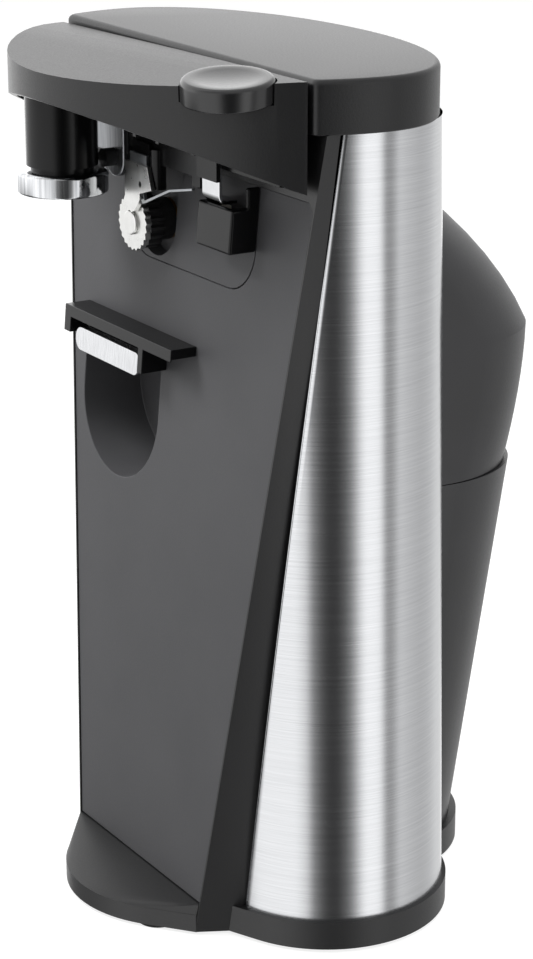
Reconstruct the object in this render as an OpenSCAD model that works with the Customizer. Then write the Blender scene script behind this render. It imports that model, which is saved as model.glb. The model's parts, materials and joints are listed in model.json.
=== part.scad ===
/* [Top covers] */
// Height of the whole can opener
body_h = 240; // [225:1:260]
// Half the width of the oval top
oval_half_w = 71.3; // [70:0.1:76]
// Depth of the oval in front of its widest line
oval_front = 61.75; // [58:0.25:66]
// Depth of the oval behind its widest line
oval_back = 38.4; // [36:0.2:42]
// Y of the oval's widest line
oval_y = -13.4; // [-14:0.1:-12]
// Wall of the two covers
cover_wall = 2.2; // [1.6:0.1:3]
// Bevel around the top edge of the covers
cover_edge = 1.2; // [0.6:0.1:2]
// Height of the fixed rear cover
cover_skirt = 13.6; // [12:0.2:16]
// Y of the seam between lever cover and rear cover
seam_y = -34.3; // [-35:0.1:-34]
// Width of that seam
seam_gap = 1.4; // [1:0.1:2.5]
// Fall of the lever's top face toward the front, in degrees
lever_top_fall = 4.8; // [0:0.2:8]
// Depth of the lever's skirt below the top, at the seam
lever_skirt = 28.2; // [24:0.2:30]
// Rise of that lower edge toward the front, in degrees
lever_edge_rise = 23.6; // [15:0.2:30]
// Fall of the top face along the seam toward the pivot's end, in degrees
lever_roll = 0.85; // [0:0.05:1.2]
// Turn of the seam seen from above, in degrees
seam_turn = 1.1; // [0:0.1:1.2]

/* [Front housing] */
// Lean of the front panel, in degrees from upright
lean = 4.97; // [3:0.1:7]
// Y of the front panel's face at floor level
panel_y0 = -50; // [-52:0.1:-48]
// Half width of the front panel at floor level
panel_half_w = 34; // [30:0.5:38]
// Flare of each side of the front panel, in degrees
panel_flare = 8.5; // [7:0.1:9.5]
// Distance from the top down to the front panel's upper edge
panel_drop = 31; // [28:0.5:35]
// Thickness of the front panel
panel_t = 2.2; // [1.6:0.1:3]
// Wall of the housings
wall = 2.2; // [1.8:0.1:3]
// Width of the housing's rim beside the panel
panel_rim = 0.8; // [0.6:0.1:1.2]
// Rounding of the panel's upper corners
panel_corner = 2.5; // [2:0.5:8]
// Radius of the round foot
foot_r = 35.1; // [33:0.1:37]
// Y of the foot's centre
foot_y = -33.1; // [-35:0.1:-31]
// Height of the foot's upright rim
foot_rim = 6; // [4:0.2:7]
// Height of the crease between panel and foot
crease_z = 9.5; // [8:0.2:12]

/* [Sides and base] */
// X of the side lobes' centres at the base
lobe_x = 32.4; // [31:0.2:33.4]
// Y of the side lobes' centres at the base
lobe_y = -6.7; // [-8:0.1:-6]
// Radius of the base ring's lobes
lobe_r = 34.4; // [34:0.1:35.5]
// Radius of a steel side panel at its foot
side_r = 33.2; // [32.6:0.1:33.4]
// X of a steel side panel's centre at its top
side_top_x = 36.9; // [36:0.1:37.4]
// Y of a steel side panel's centre at its top
side_top_y = -12.3; // [-13:0.1:-11.5]
// Radius of a steel side panel at its top
side_top_r = 31; // [30:0.1:31.5]
// Thickness of the steel side panels
steel_t = 0.7; // [0.5:0.1:1]
// Height of the base ring
base_h = 8.8; // [8:0.1:10]
// How far the rubber feet stand below the base
pad_h = 0.8; // [0.5:0.1:1.5]
// Radius of a rubber foot
pad_r = 6; // [4:0.5:7]

/* [Rear hump] */
// Radius of the hump in plan
hump_r = 34.5; // [33:0.1:36]
// Rearmost Y of the hump
hump_back = 75.2; // [72:0.2:78]
// Distance from the top down to the hump's rearmost point
peak_drop = 84; // [82:0.5:86]
// Y of the lower cover's back at the base
lower_back = 51.4; // [50:0.2:54]
// Y of the base ring's back
ring_back = 54.4; // [53:0.2:56]
// Distance from the top down to the lip of the lower rear cover
lip_drop = 122.8; // [121:0.2:126]
// Distance from the top down to where the hump runs out into the back
hump_drop = 31; // [30:0.5:33]

/* [Drive] */
// X of the drive shaft
shaft_x = -12; // [-13:0.1:-11]
// Distance from the top down to the drive shaft
shaft_drop = 48.6; // [48:0.1:49.5]
// Radius of the drive shaft
shaft_r = 3; // [2.5:0.1:3.4]
// Radius of the drive wheel's tips
wheel_r = 7.8; // [7.2:0.1:8]
// Thickness of the drive wheel
wheel_t = 1.8; // [1.4:0.1:2]
// Teeth on the drive wheel
wheel_teeth = 22; // [18:1:26]
// How far the wheel's front face stands out of the panel
wheel_out = 8; // [7.6:0.1:8.2]
// Length of the toothed collar behind the wheel
collar_len = 4.4; // [3.5:0.1:5]
// Radial clearance of turning fits
run_clear = 0.05; // [0.02:0.01:0.08]

/* [Lever] */
// X of the lever's pivot
pivot_x = -23.4; // [-24:0.1:-23]
// Height of the lever's pivot above the drive shaft
pivot_rise = 16; // [15.6:0.1:16.6]
// Radius of the lever's pivot pin
pivot_r = 2; // [1.6:0.1:2.2]
// Radius of the lever's pivot hub
hub_r = 5.4; // [5:0.1:5.8]
// Radius of the thumb pad
thumb_r = 11.8; // [11:0.1:12.4]
// Height of the thumb pad
thumb_h = 5.8; // [5.2:0.1:6.4]
// Tilt of the thumb pad, in degrees
thumb_tilt = 7.3; // [5:0.1:9]
// Thickness of the cutting blade
blade_t = 1.2; // [0.8:0.1:1.5]
// Gap between the blade and the drive wheel
blade_gap = 0.4; // [0.3:0.05:0.6]

/* [Magnet] */
// X of the magnet's axis
magnet_x = -27.8; // [-28.5:0.1:-27]
// Y of the magnet's axis
magnet_y = -54; // [-55:0.1:-53.8]
// Height of the magnet cup's lower face above the drive shaft
magnet_rise = 7.1; // [5.6:0.1:8.6]
// Outer radius of the magnet cup
cup_r = 12.5; // [11.5:0.1:12.6]
// Height of the magnet cup
cup_h = 6.2; // [5:0.1:7]
// Radius of the magnet post
post_r = 9.8; // [9:0.1:10.4]

/* [Bottle opener] */
// Left end of the opener bracket
bracket_x0 = -47.6; // [-48.5:0.1:-46]
// Right end of the opener bracket
bracket_x1 = 13; // [10:0.5:16]
// Distance from the top down to the bracket's upper face
bracket_drop = 78.4; // [77:0.1:80]
// How far the bracket stands out of the panel
bracket_out = 8; // [7:0.1:9]
// Thickness of the bracket's shelf and legs
bracket_t = 2.7; // [2.4:0.1:3]
// Radius of the recess for the bottle cap
cap_r = 21.5; // [20:0.1:22]
// X of that recess's centre
cap_x = -26.7; // [-27.5:0.1:-26]
// Distance from the bracket's upper face down to that recess's centre
cap_drop = 24.6; // [23.6:0.1:25.6]
// Depth of that recess behind the panel's face
cap_deep = 18.4; // [17:0.2:18.8]

/* [Gears] */
// Module of the output gear pair
mod_out = 1.0; // [0.98:0.01:1.02]
// Module of the second gear pair
mod_mid = 0.8; // [0.78:0.01:0.82]
// Module of the motor's gear pair
mod_in = 0.7; // [0.68:0.01:0.72]
// Teeth on the output gear
out_teeth = 38; // [36:1:40]
// Teeth on the second wheel
mid_teeth = 44; // [42:1:46]
// Teeth on the first wheel
in_teeth = 48; // [46:1:50]
// Teeth on each pinion
pinion_teeth = 11; // [10:1:12]
// Face width of the output gear
out_face = 6; // [5:0.2:6.4]
// Face width of the other gears
gear_face = 3.6; // [3:0.2:4]
// Play between meshing teeth
tooth_play = 0.24; // [0.16:0.02:0.3]
// Thickness of the gear plates
plate_t = 1.5; // [1.2:0.1:2]
// Y of the front gear plate's front face
plate_y = -21.5; // [-22:0.1:-21]

/* [Motor] */
// Radius of the motor's rotor
rotor_r = 12.9; // [12:0.1:13.5]
// Depth of the stator stack
stack_d = 22; // [18:0.5:24]
// Air gap between rotor and stator
air_gap = 0.5; // [0.3:0.05:0.8]
// Radius of the motor shaft
motor_shaft_r = 2; // [1.6:0.1:2.4]
// Half width of the stator
stator_half_w = 27; // [26:0.5:28]
// Radius of the cooling fan
fan_r = 19; // [16:0.5:21]

/* [Sharpener] */
// Width of the sharpener insert
sharp_w = 18; // [16:0.5:20]
// Length of the sharpener insert down the slope
sharp_len = 25; // [24:0.5:26]
// Radius of the sharpening wheels
stone_r = 7; // [6:0.1:7.5]
// Width of the two knife slots
knife_slot = 2; // [1.6:0.1:2.4]

/* [Hidden] */

fit = 0.1;                                   // slack between parts that are fitted together
seam = 0.25;                                 // visible gap round the panel and mechanism plate
eps = 0.01;                                  // overlap that keeps cuts clean
floor_z = pad_h;                             // underside of the mouldings
cover_z = body_h - cover_skirt;              // where the rear cover sits on the body
lever_back_z = body_h - lever_skirt;
panel_top = body_h - panel_drop;
hump_peak_z = body_h - peak_drop;
lip_z = body_h - lip_drop;
hump_top = body_h - hump_drop;
shaft_z = body_h - shaft_drop;
pivot_z = shaft_z + pivot_rise;
magnet_z = shaft_z + magnet_rise;
bracket_z = body_h - bracket_drop;
cap_z = bracket_z - cap_drop;
recess_top = bracket_z - 8.6;                 // upper end of the cap recess
lean_k = tan(lean);                          // y per mm of height on the panel
flare_k = tan(panel_flare);                  // half width per mm of height
function panel_y(z) = panel_y0 + lean_k * z;
function panel_w(z) = panel_half_w + flare_k * z;
function polar(r, a) = [r * cos(a), r * sin(a)];

// Front edge of the right steel panel, from the base up to the cover
edge_foot = [lobe_x + 8.3, lobe_y - 31.2, base_h];
edge_head = [side_top_x + 30.6, side_top_y - 14.3, cover_z];
edge_low = edge_foot                         // the same edge carried down to the floor
    - (edge_head - edge_foot) * (base_h - floor_z) / (cover_z - base_h);
edge_out = [0.676, -0.737, 0];
edge_normal = cross(edge_head - edge_foot, edge_out);
seam_x = lobe_x + 1.4;                       // where steel meets the flat back
cover_gap = 0.3;                             // seam between hump and lower cover
function flat_y(z) = lobe_y + side_r
    + (side_top_y + side_top_r - lobe_y - side_r) * (z - base_h) / (cover_z - base_h);
lip_back = hump_back - 5.2;                  // back of the lower cover at its lip
function lower_y(z) = lower_back + (lip_back - lower_back) * (z - base_h) / (lip_z - base_h);
// Back of the hump: it leans forward more and more above the peak, and curves in below it
dome_y = 19.6;                               // where it meets the flat back
dome_h = hump_top - hump_peak_z;
dome_a = 0.52;                               // lean just above the peak
dome_b = ((hump_back - 0.3 - dome_y) / dome_h - dome_a) / dome_h;
function dome(z) = let (t = max(0, z - hump_peak_z)) hump_back - 0.3 - t * (dome_a + dome_b * t);
function flank(z) = hump_back - 0.3 - 6.6 * pow((hump_peak_z - z) / (hump_peak_z - lip_z), 1.7);

// Drive train places
wheel_y = panel_y(shaft_z) - wheel_out;      // front face of the drive wheel
pocket_r = wheel_r + 2.1;                    // round recess behind the wheel
pocket_y = panel_y(shaft_z) + 3.6;           // floor of that recess
plate_back = plate_y + plate_t;              // back face of the front gear plate
out_y = plate_back + 1.5;                    // front face of the output gear
mid_y = out_y + out_face + 1;                // front face of the second gear
in_y = mid_y + gear_face + 1;                // front face of the first gear
rear_plate_y = in_y + gear_face + 1;         // front face of the rear gear plate
rear_plate_back = rear_plate_y + plate_t;
out_c = [shaft_x, shaft_z];
mid_c = out_c + polar((out_teeth + pinion_teeth) * mod_out / 2, -35);
in_c = mid_c + polar((mid_teeth + pinion_teeth) * mod_mid / 2, -130);
motor_c = in_c + polar((in_teeth + pinion_teeth) * mod_in / 2, -73);
cap_wall = 1.8;                              // wall of the cap recess
pin_r = 2;                                   // radius of the idler gear pins
screw_r = 1.5;                               // radius of the assembly screws
pillar_r = 3.2;
pillar_c = [[-20, shaft_z - 85.4], [29, shaft_z - 55.4], [47, shaft_z - 1.4],
            [-34, shaft_z - 23.4]];

// Motor places
bracket_gap = 7.5;                           // length of the motor brackets' legs
stack_y = rear_plate_back + bracket_gap;
stack_back = stack_y + stack_d;
leg_x = 22;                                  // X of the motor screws from the shaft
bush_r = 5;
motor_end = stack_back + bracket_gap + 15;   // rear end of the motor shaft
coil_z = -39;                                // centre of the coil below the shaft
core_h = 12;                                 // height of the bar inside the coil

// Lever places
seam_x1 = 66.5;                              // right end of the seam
lever_y = seam_y - seam_gap / 2;             // back face of the lever
frame_y = lever_y - cover_wall - fit;        // back face of the lever's inner frame
frame_t = 2.4;
frame_z = body_h - 31;                       // lower edge of the frame
deck_z = body_h - 11;                        // underside of the frame's deck
deck_t = 2;
hub_y = frame_y - frame_t - 0.8;             // front face of the pivot hub
clip_len = 3.5;                              // length of the clip on the pivot pin
blade_y = wheel_y - blade_gap - blade_t;     // front face of the blade
thumb_c = [52.5, -49.6, body_h + 0.2];
thumb_turn = -42.5;                          // direction the thumb pad leans to

function half_oval(depth, n, sign, inset) =
    [for (i = [0:32]) let (a = 180 * i / 32, c = cos(a), s = sin(a))
        [(oval_half_w - inset) * (c < 0 ? -1 : 1) * pow(abs(c), 2 / n),
         oval_y + sign * (depth - inset) * pow(abs(s), 2 / n)]];

// The oval of the top, moved inward by inset
module oval(inset = 0) {
    back = half_oval(oval_back, 2.08, 1, inset);
    polygon(concat(half_oval(oval_front, 1.88, -1, inset), [for (i = [31:-1:1]) back[i]]));
}

// Everything on the side of the plane through p that n points to
module beyond(p, n, size = 400) {
    translate(p)
        rotate([0, acos(n.z / norm(n)), atan2(n.y, n.x)])
            translate([-size, -size, 0])
                cube([2 * size, 2 * size, size]);
}

// A cylinder along +Y
module rod(c, y0, y1, r) {
    translate([c.x, y0, c.y])
        rotate([-90, 0, 0])
            cylinder(r = r, h = y1 - y0, $fn = 48);
}

// A plate drawn in X and Z, from y0 back to y1
module slab(y0, y1) {
    translate([0, y1, 0])
        rotate([90, 0, 0])
            linear_extrude(y1 - y0) children();
}

module round_rect(x0, z0, x1, z1, r) {
    hull()
        for (x = [x0 + r, x1 - r], z = [z0 + r, z1 - r])
            translate([x, z]) circle(r, $fn = 32);
}

// The front panel's outline on its own leaning plane, moved inward by inset
module panel_outline(z0, z1, inset = 0) {
    w0 = panel_w(z0) - inset;
    w1 = panel_w(z1) - inset;
    c = panel_corner;
    polygon([[-w0, z0], [w0, z0], [w1 - flare_k * c, z1 - c], [w1 - c, z1],
             [-w1 + c, z1], [-w1 + flare_k * c, z1 - c]]);
}

// A layer that follows the leaning panel: from d0 to d1 behind its face
module leaning(d0, d1) {
    multmatrix([[1, 0, 0, 0], [0, 1, lean_k, panel_y0 + d0], [0, 0, 1, 0], [0, 0, 0, 1]])
        slab(0, d1 - d0) children();
}

// Front housing, its panel and foot

// Wedge-shaped front body, moved inward by inset and begun deep behind the face. Its sides turn
// slowly from facing sideways at the top to facing forward at the foot
module front_wedge(inset = 0, deep = 0, run = 0) {
    k = inset * 1.4;
    z1 = cover_z - 0.1 - eps;
    step = (z1 - floor_z) / 10;
    for (n = [0:9])
        hull()
            for (z = [floor_z + n * step, floor_z + (n + 1) * step]) {
                t = (z - floor_z) / (z1 - floor_z);
                x = edge_low.x + 0.05 + (edge_head.x - 0.32 - edge_low.x) * t - k;
                y = edge_low.y - 0.7 + (edge_head.y + 0.4 - edge_low.y) * t + run;
                w = panel_w(z) - inset;
                translate([0, 0, z])
                    linear_extrude(eps)
                        polygon([[-w, panel_y(z) - 0.3 + deep], [w, panel_y(z) - 0.3 + deep],
                                 [x, y], [x, y + 0.6], [-x, y + 0.6], [-x, y]]);
            }
}

// The foot seen from above, moved inward by inset
module foot_plan(inset = 0) {
    hull() {
        translate([0, foot_y]) circle(foot_r - inset, $fn = 96);
        for (s = [-1, 1])
            translate([s * (panel_half_w - inset), panel_y0 + inset]) circle(0.3, $fn = 16);
    }
}

module foot() {
    crease_y = panel_y(crease_z);
    difference() {
        union() {
            translate([0, 0, floor_z]) linear_extrude(foot_rim - floor_z) foot_plan();
            hull() {
                translate([0, 0, foot_rim - 0.2])
                    linear_extrude(0.2)
                        intersection() {
                            foot_plan(0.05);
                            translate([-50, -100]) square([100, 100 + crease_y]);
                        }
                translate([-panel_w(crease_z) + 0.6, crease_y - 0.5, crease_z - 0.6])
                    cube([2 * panel_w(crease_z) - 1.2, 1, 0.6]);
            }
        }
        beyond([0, panel_y0 + panel_t + wall, 0], [0, 1, 0]);
    }
}

module cap_recess(r, d0, d1) {
    slab(panel_y(cap_z) + d0, panel_y(cap_z) + d1)
        union() {
            translate([cap_x, cap_z]) circle(r, $fn = 96);
            translate([cap_x - r, cap_z]) square([2 * r, recess_top - cap_z]);
        }
}

module mechanism_outline(grow = 0) {
    x0 = shaft_x - 15 - grow;
    x1 = 38.5 + grow;
    z0 = shaft_z - 10.9 - grow;
    difference() {
        round_rect(x0, z0, x1, panel_top + 30, 12);
        translate([x0 - 1, panel_top - fit + 2 * grow]) square([x1 - x0 + 2, 60]);
    }
}

// Screws that join the two housings, and the plane where their bosses meet
joint_screw_c = [[-26, 58], [26, 58], [-27, body_h - 20.5], [27, body_h - 20.5]];
joint_y = -24;

module front_housing() {
    color("#1b1b1c")
        difference() {
            union() {
                difference() {
                    front_wedge();
                    difference() {
                        front_wedge(wall, panel_t + wall, 40);
                        translate([-60, -80, 0]) cube([120, 80, floor_z + wall]);
                    }
                }
                foot();
                for (c = pillar_c)
                    rod(c, panel_y(c.y) + panel_t + 1, plate_y, 4);
                for (c = joint_screw_c)
                    rod(c, panel_y(c.y) + panel_t + 1, joint_y, 4);
                for (s = [-1, 1])
                    translate([s * base_screw_c[2].x, base_screw_c[2].y, base_h]) {
                        cylinder(r = 4, h = base_boss_h, $fn = 48);
                        translate([-1.2, -12.4, 0]) cube([2.4, 12, base_boss_h]);
                    }
            }
            // seat of the front panel
            leaning(-2, panel_t + fit) panel_outline(crease_z, panel_top + fit, panel_rim - seam);
            // mechanism plate and bottle recess stand through the wall
            leaning(-2, 8) mechanism_outline(fit);
            cap_recess(cap_r + cap_wall + fit, -5, cap_deep + wall + 4);
            // pivot pin and gear screws
            rod([pivot_x, pivot_z], -60, plate_y, pivot_r + 1.5 + fit);
            for (c = pillar_c)
                rod(c, panel_y(c.y) + panel_t + 4, plate_y + 5, screw_r + run_clear);
            for (c = joint_screw_c)
                rod(c, joint_y - 3.3, joint_y + 5, screw_r + run_clear);
            for (s = [-1, 1])
                translate([s * base_screw_c[2].x, base_screw_c[2].y, 0])
                    cylinder(r = screw_r + run_clear, h = base_h + base_boss_h - 1.4, $fn = 32);
            // the base plate's place
            translate([-60, edge_foot.y + 0.5, -1]) cube([120, 60, base_h + 1]);
            translate([0, 0, -1]) linear_extrude(base_h + 1) ring_ends(fit);
        }
}

module front_panel() {
    color("#5d5c5e")
        difference() {
            union() {
                leaning(0, panel_t) panel_outline(crease_z + fit, panel_top, panel_rim);
                cap_recess(cap_r + cap_wall, -4, cap_deep + cap_wall);
            }
            cap_recess(cap_r, -8, cap_deep);
            leaning(-2, panel_t + 2) mechanism_outline(seam);
            // nothing stands proud of the leaning face
            leaning(-12, 0) translate([-60, cap_z - 40]) square([120, 80]);
        }
}

module mechanism_plate() {
    color("#565558")
        difference() {
            union() {
                leaning(0, panel_t) mechanism_outline();
                slab(panel_y(shaft_z) + 1, pocket_y + wall)
                    intersection() {
                        pocket(wall);
                        mechanism_outline();
                    }
                rod(out_c, pocket_y, plate_y - fit, shaft_r + 3.4);
                // boss of the lever's pivot pin
                rod([pivot_x, pivot_z], hub_y + hub_len + 0.3, plate_y - fit, pivot_r + 1.5);
            }
            slab(-60, pocket_y) pocket(0);
            rod([pivot_x, pivot_z], -60, 0, pivot_r + run_clear);
            rod(out_c, -60, 0, shaft_r + 1.4 + fit);
            // slot for the switch plunger's arm
            slab(-60, 0)
                translate([plunger_x - 2.6, plunger_z - plunger_travel - 0.3])
                    square([5.2, 2.6 + plunger_travel + 0.6]);
        }
}

// Pocket around the wheel, open at the top
module pocket(grow) {
    r = pocket_r + grow;
    hull() {
        translate(out_c) circle(r, $fn = 64);
        translate([shaft_x - r, panel_top - 2]) square([2 * r, grow > 0 ? 1 : 4]);
    }
}

// Guide block, hollow and open at the top
block_x0 = 22;
block_x1 = 39.2;
block_z0 = shaft_z + 0.8;
block_z1 = shaft_z + 12.3;
block_out = 8.2;
block_wall = 1.7;
plunger_x = 28.8;
block_floor = 1.5;
plunger_z = block_z0 + block_floor + 2.9;
plunger_travel = 1.2;
plunger_y = panel_y(block_z1) - block_out / 2 - 0.2;

module guide_block() {
    color("#39393b")
        difference() {
            intersection() {
                leaning(-block_out, -fit)
                    translate([block_x0, block_z0])
                        square([block_x1 - block_x0, 18.6]);
                union() {
                    slab(-80, 0)
                        translate([0, block_z0]) square([100, block_z1 - block_z0]);
                    slab(panel_y(block_z1) - 3.6, 0)
                        translate([block_x1 - 1.4, block_z0]) square([1.4, 16.8]);
                }
            }
            leaning(-block_out + block_wall, 3)
                translate([block_x0 + block_wall, block_z0 + block_floor])
                    square([block_x1 - block_x0 - 2 * block_wall - 1, 20]);
        }
}

// Bottle opener under its bracket
module opener_bracket() {
    shelf_z = bracket_z - bracket_t;
    color("#2b2b2c")
        union() {
            leaning(-bracket_out, -fit)
                union() {
                    translate([bracket_x0, shelf_z]) square([bracket_x1 - bracket_x0, bracket_t]);
                    translate([bracket_x0, bracket_z - 7.6]) square([bracket_leg, 7]);
                    translate([-4.7, bracket_z - 10]) square([2.6, 8]);
                }
            // pad that the opener plate hangs on
            leaning(-opener_out + 2.6, -fit)
                translate([-40, opener_top + 0.1]) square([36, shelf_z - opener_top + 0.4]);
            // lip in front of the opener plate
            leaning(-bracket_out, -opener_out)
                translate([bracket_x0, shelf_z - 0.6]) square([bracket_x1 - bracket_x0, 1.6]);
        }
}

bracket_leg = 3.6;
opener_out = 7.6;
opener_top = bracket_z - 5.1;
opener_low = bracket_z - 11.4;

module opener_plate() {
    color("#e8e8ea")
        union() {
            leaning(-opener_out, -opener_out + 2.2)
                hull() {
                    translate([-38.3, opener_top - 2.7]) circle(2.7, $fn = 48);
                    translate([-37.8, opener_low + 3.2]) circle(3.2, $fn = 48);
                    translate([-6.5, opener_top - 1.6]) circle(1.6, $fn = 32);
                    translate([-7.1, opener_low + 2.2]) circle(2.2, $fn = 32);
                }
            // flange folded back on top
            leaning(-opener_out + 1, -opener_out + 5)
                translate([-38, opener_top - 1.4]) square([32, 1.4]);
        }
}

// Steel side panels

// The right side's leaning cone, moved inward by inset
module side_cone(inset = 0, z0 = base_h, z1 = cover_z - fit) {
    hull() {
        translate([lobe_x, lobe_y, z0])
            cylinder(r = side_r - inset, h = 0.1, $fn = 96);
        translate([side_top_x, side_top_y, z1 - 0.1])
            cylinder(r = side_top_r - inset, h = 0.1, $fn = 96);
    }
}

module steel_side() {
    difference() {
        side_cone();
        side_cone(steel_t, base_h - 0.2, cover_z + 0.2);
        beyond([seam_x, 0, 0], [-1, 0, 0]);
        beyond(edge_foot, -edge_normal);
    }
}

module steel_panel_right() {
    color("#c9cacb") steel_side();
}

module steel_panel_left() {
    color("#c9cacb") mirror([1, 0, 0]) steel_side();
}

// Rear housing and lower rear cover

// Hump from z0 to z1, moved inward by inset
module hump(inset, z0, z1) {
    low = [for (k = [0:0.125:1]) let (z = lip_z + k * (hump_peak_z - lip_z)) [z, flank(z)]];
    high = [for (k = [0.125:0.125:1]) let (z = hump_peak_z + k * dome_h) [z, dome(z)]];
    intersection() {
        hull()
            for (p = concat(low, high))
                translate([0, p.y - hump_r, p.x - (p.x > hump_peak_z ? inset : 0)])
                    cylinder(r = hump_r - inset, h = 0.2, $fn = 72);
        translate([-60, -60, z0]) cube([120, 160, z1 - z0]);
    }
}

// Flat back between the two steel panels
module flat_back(inset, z0, z1) {
    w = seam_x - fit - inset;
    hull() {
        translate([-w, 0, z0]) cube([2 * w, flat_y(z0) - inset, 0.2]);
        translate([-w, 0, z1 - 0.2]) cube([2 * w, flat_y(z1) - inset, 0.2]);
    }
}

module rear_housing() {
    rim_y = 12;
    back_z1 = cover_z - fit;
    color("#454446")
        difference() {
            union() {
                difference() {
                    union() {
                        flat_back(0, base_h, back_z1);
                        hump(0, lip_z, cover_z);
                    }
                    flat_back(wall, base_h - 1, back_z1 + 1);
                    hump(wall, lip_z + wall, cover_z);
                    beyond([0, rim_y, 0], [0, -1, 0]);
                    sharp_frame() translate([-sharp_w / 2 - fit, -sharp_len / 2 - fit, -20])
                        cube([sharp_w + 2 * fit, sharp_len + 2 * fit, 40]);
                }
                for (c = joint_screw_c) rod(c, joint_y + fit, flat_y(c.y) - 1, 4);
                for (s = [-1, 1])
                    translate([s * base_screw_c[0].x, base_screw_c[0].y, base_h])
                        cylinder(r = 4, h = base_boss_h, $fn = 48);
            }
            side_clear();
            mirror([1, 0, 0]) side_clear();
            for (c = cover_screw_c) rod(c, 0, 40, screw_r + run_clear);
            for (c = joint_screw_c) rod(c, -60, 40, screw_r + run_clear);
            rod([0, grommet_z - 4], 10, 40, grommet_r);
            motor_room();
            for (s = [-1, 1])
                translate([s * base_screw_c[0].x, base_screw_c[0].y, 0])
                    cylinder(r = screw_r + run_clear, h = base_h + base_boss_h - 1.4, $fn = 32);
        }
}

// Room for the steel side panel, with a small gap
module side_clear() {
    difference() {
        side_cone(-0.15, base_h - 0.3, cover_z + 0.3);
        beyond([seam_x - fit, 0, 0], [-1, 0, 0]);
    }
}

cover_high = motor_c.y + coil_z - 23.7;      // height of the upper cover screws
cover_screw_c = [[-14, 30], [14, 30], [-14, cover_high], [14, cover_high]];
grommet_z = 24;
grommet_r = 5;
cord_r = 3.3;

// Lower hump: from the base ring up to the lip
module lower_hump(inset, z0, z1) {
    hull()
        for (z = [z0, z1 - 0.1])
            translate([0, lower_y(z) - hump_r, z]) cylinder(r = hump_r - inset, h = 0.1, $fn = 72);
}

module rear_lower_cover() {
    top = lip_z - cover_gap;
    color("#454446")
        difference() {
            union() {
                difference() {
                    lower_hump(0, base_h, top);
                    lower_hump(wall, base_h + wall, top - wall);
                }
                intersection() {
                    lower_hump(0.5, base_h, top);
                    union()
                        for (c = cover_screw_c) rod(c, flat_y(c.y), hump_back, 4);
                }
            }
            // everything in front of the flat back, and the steel sides
            hull() {
                translate([-60, -60, base_h - 1]) cube([120, 60 + flat_y(base_h - 1) + fit, 0.1]);
                translate([-60, -60, cover_z]) cube([120, 60 + flat_y(cover_z) + fit, 0.1]);
            }
            side_clear();
            mirror([1, 0, 0]) side_clear();
            for (c = cover_screw_c) rod(c, 0, flat_y(c.y) + 12, screw_r + run_clear);
            rod([0, grommet_z], 30, 90, grommet_r + run_clear);
            motor_room();
        }
}

// Room for the motor, whose coil hangs below the lip
module motor_room() {
    z0 = motor_c.y + coil_z - 12.5;
    translate([-28.5, 0, z0]) cube([57, stack_back + 1, lip_z + wall + 1 - z0]);
}

module cord_grommet() {
    y = lower_y(grommet_z);
    color("#202021")
        difference() {
            union() {
                rod([0, grommet_z], y - 5, y + 2.6, grommet_r);
                rod([0, grommet_z], y + 1.1, y + 2.6, grommet_r + 1.5);
                rod([0, grommet_z], y - 5, y - 3.5, grommet_r + 1.5);
            }
            rod([0, grommet_z], 0, 90, cord_r);
        }
}

module cord_clamp() {
    color("#d8d6d0")
        difference() {
            translate([-12, 8, floor_z + 2.5]) cube([24, 9, 12]);
            rod([0, floor_z + 9], 0, 40, cord_r);
            // the two halves
            translate([-30, 0, floor_z + 8.8]) cube([60, 40, 0.4]);
        }
}

// Covers

module rear_top_cover() {
    floor_t = 1.6;
    color("#232324")
        difference() {
            // the edge steps in twice towards the top
            translate([0, 0, cover_z])
                union() {
                    linear_extrude(cover_skirt - cover_edge) rear_oval();
                    linear_extrude(cover_skirt - 0.35 * cover_edge) rear_oval(0.35 * cover_edge);
                    linear_extrude(cover_skirt) rear_oval(cover_edge);
                }
            translate([0, 0, cover_z + floor_t])
                linear_extrude(cover_skirt - floor_t - cover_wall) rear_oval(cover_wall);
            // opening over the mechanism
            translate([0, 0, cover_z - 1]) linear_extrude(floor_t + 2) rear_oval(13);
        }
}

module rear_oval(inset = 0) {
    intersection() {
        oval(inset);
        behind_seam(inset + seam_gap / 2);
    }
}

// The plane behind the seam, moved back by shift
module behind_seam(shift) {
    translate([seam_x1, seam_y]) rotate(-seam_turn) translate([-200, shift]) square([400, 200]);
}

module front_oval(inset = 0) {
    difference() {
        oval(inset);
        behind_seam(-inset - seam_gap / 2);
    }
}

// Base

module base_plan(inset = 0) {
    for (s = [-1, 1])
        translate([s * lobe_x, lobe_y]) circle(lobe_r - inset, $fn = 96);
    translate([0, ring_back - hump_r]) circle(hump_r - inset, $fn = 96);
    translate([-lobe_x, edge_foot.y + inset])
        square([2 * lobe_x, lobe_y + lobe_r - edge_foot.y - 2 * inset]);
}

module base_plate() {
    color("#1d1d1e")
        difference() {
            union() {
                translate([0, 0, floor_z])
                    linear_extrude(base_h - floor_z)
                        difference() {
                            base_plan();
                            base_plan(wall);
                        }
                translate([0, 0, floor_z]) linear_extrude(2.5) base_plan(0.5);
                translate([0, 0, floor_z]) linear_extrude(base_h - floor_z) ring_ends();
                for (c = base_screw_c)
                    translate([c.x, c.y, floor_z]) cylinder(r = 4, h = base_h - floor_z, $fn = 48);
            }
            difference() {
                front_cut();
                linear_extrude(base_h) ring_ends();
            }
            for (c = base_screw_c)
                translate([c.x, c.y, -1]) {
                    cylinder(r = screw_r + run_clear, h = 30, $fn = 32);
                    cylinder(r = 2.9, h = floor_z + 2.6, $fn = 32);
                }
        }
}

// Room for the front housing and its foot
module front_cut() {
    translate([-50, -100, -1]) cube([100, 100 + edge_foot.y + 0.6 + fit, 30]);
}

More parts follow.
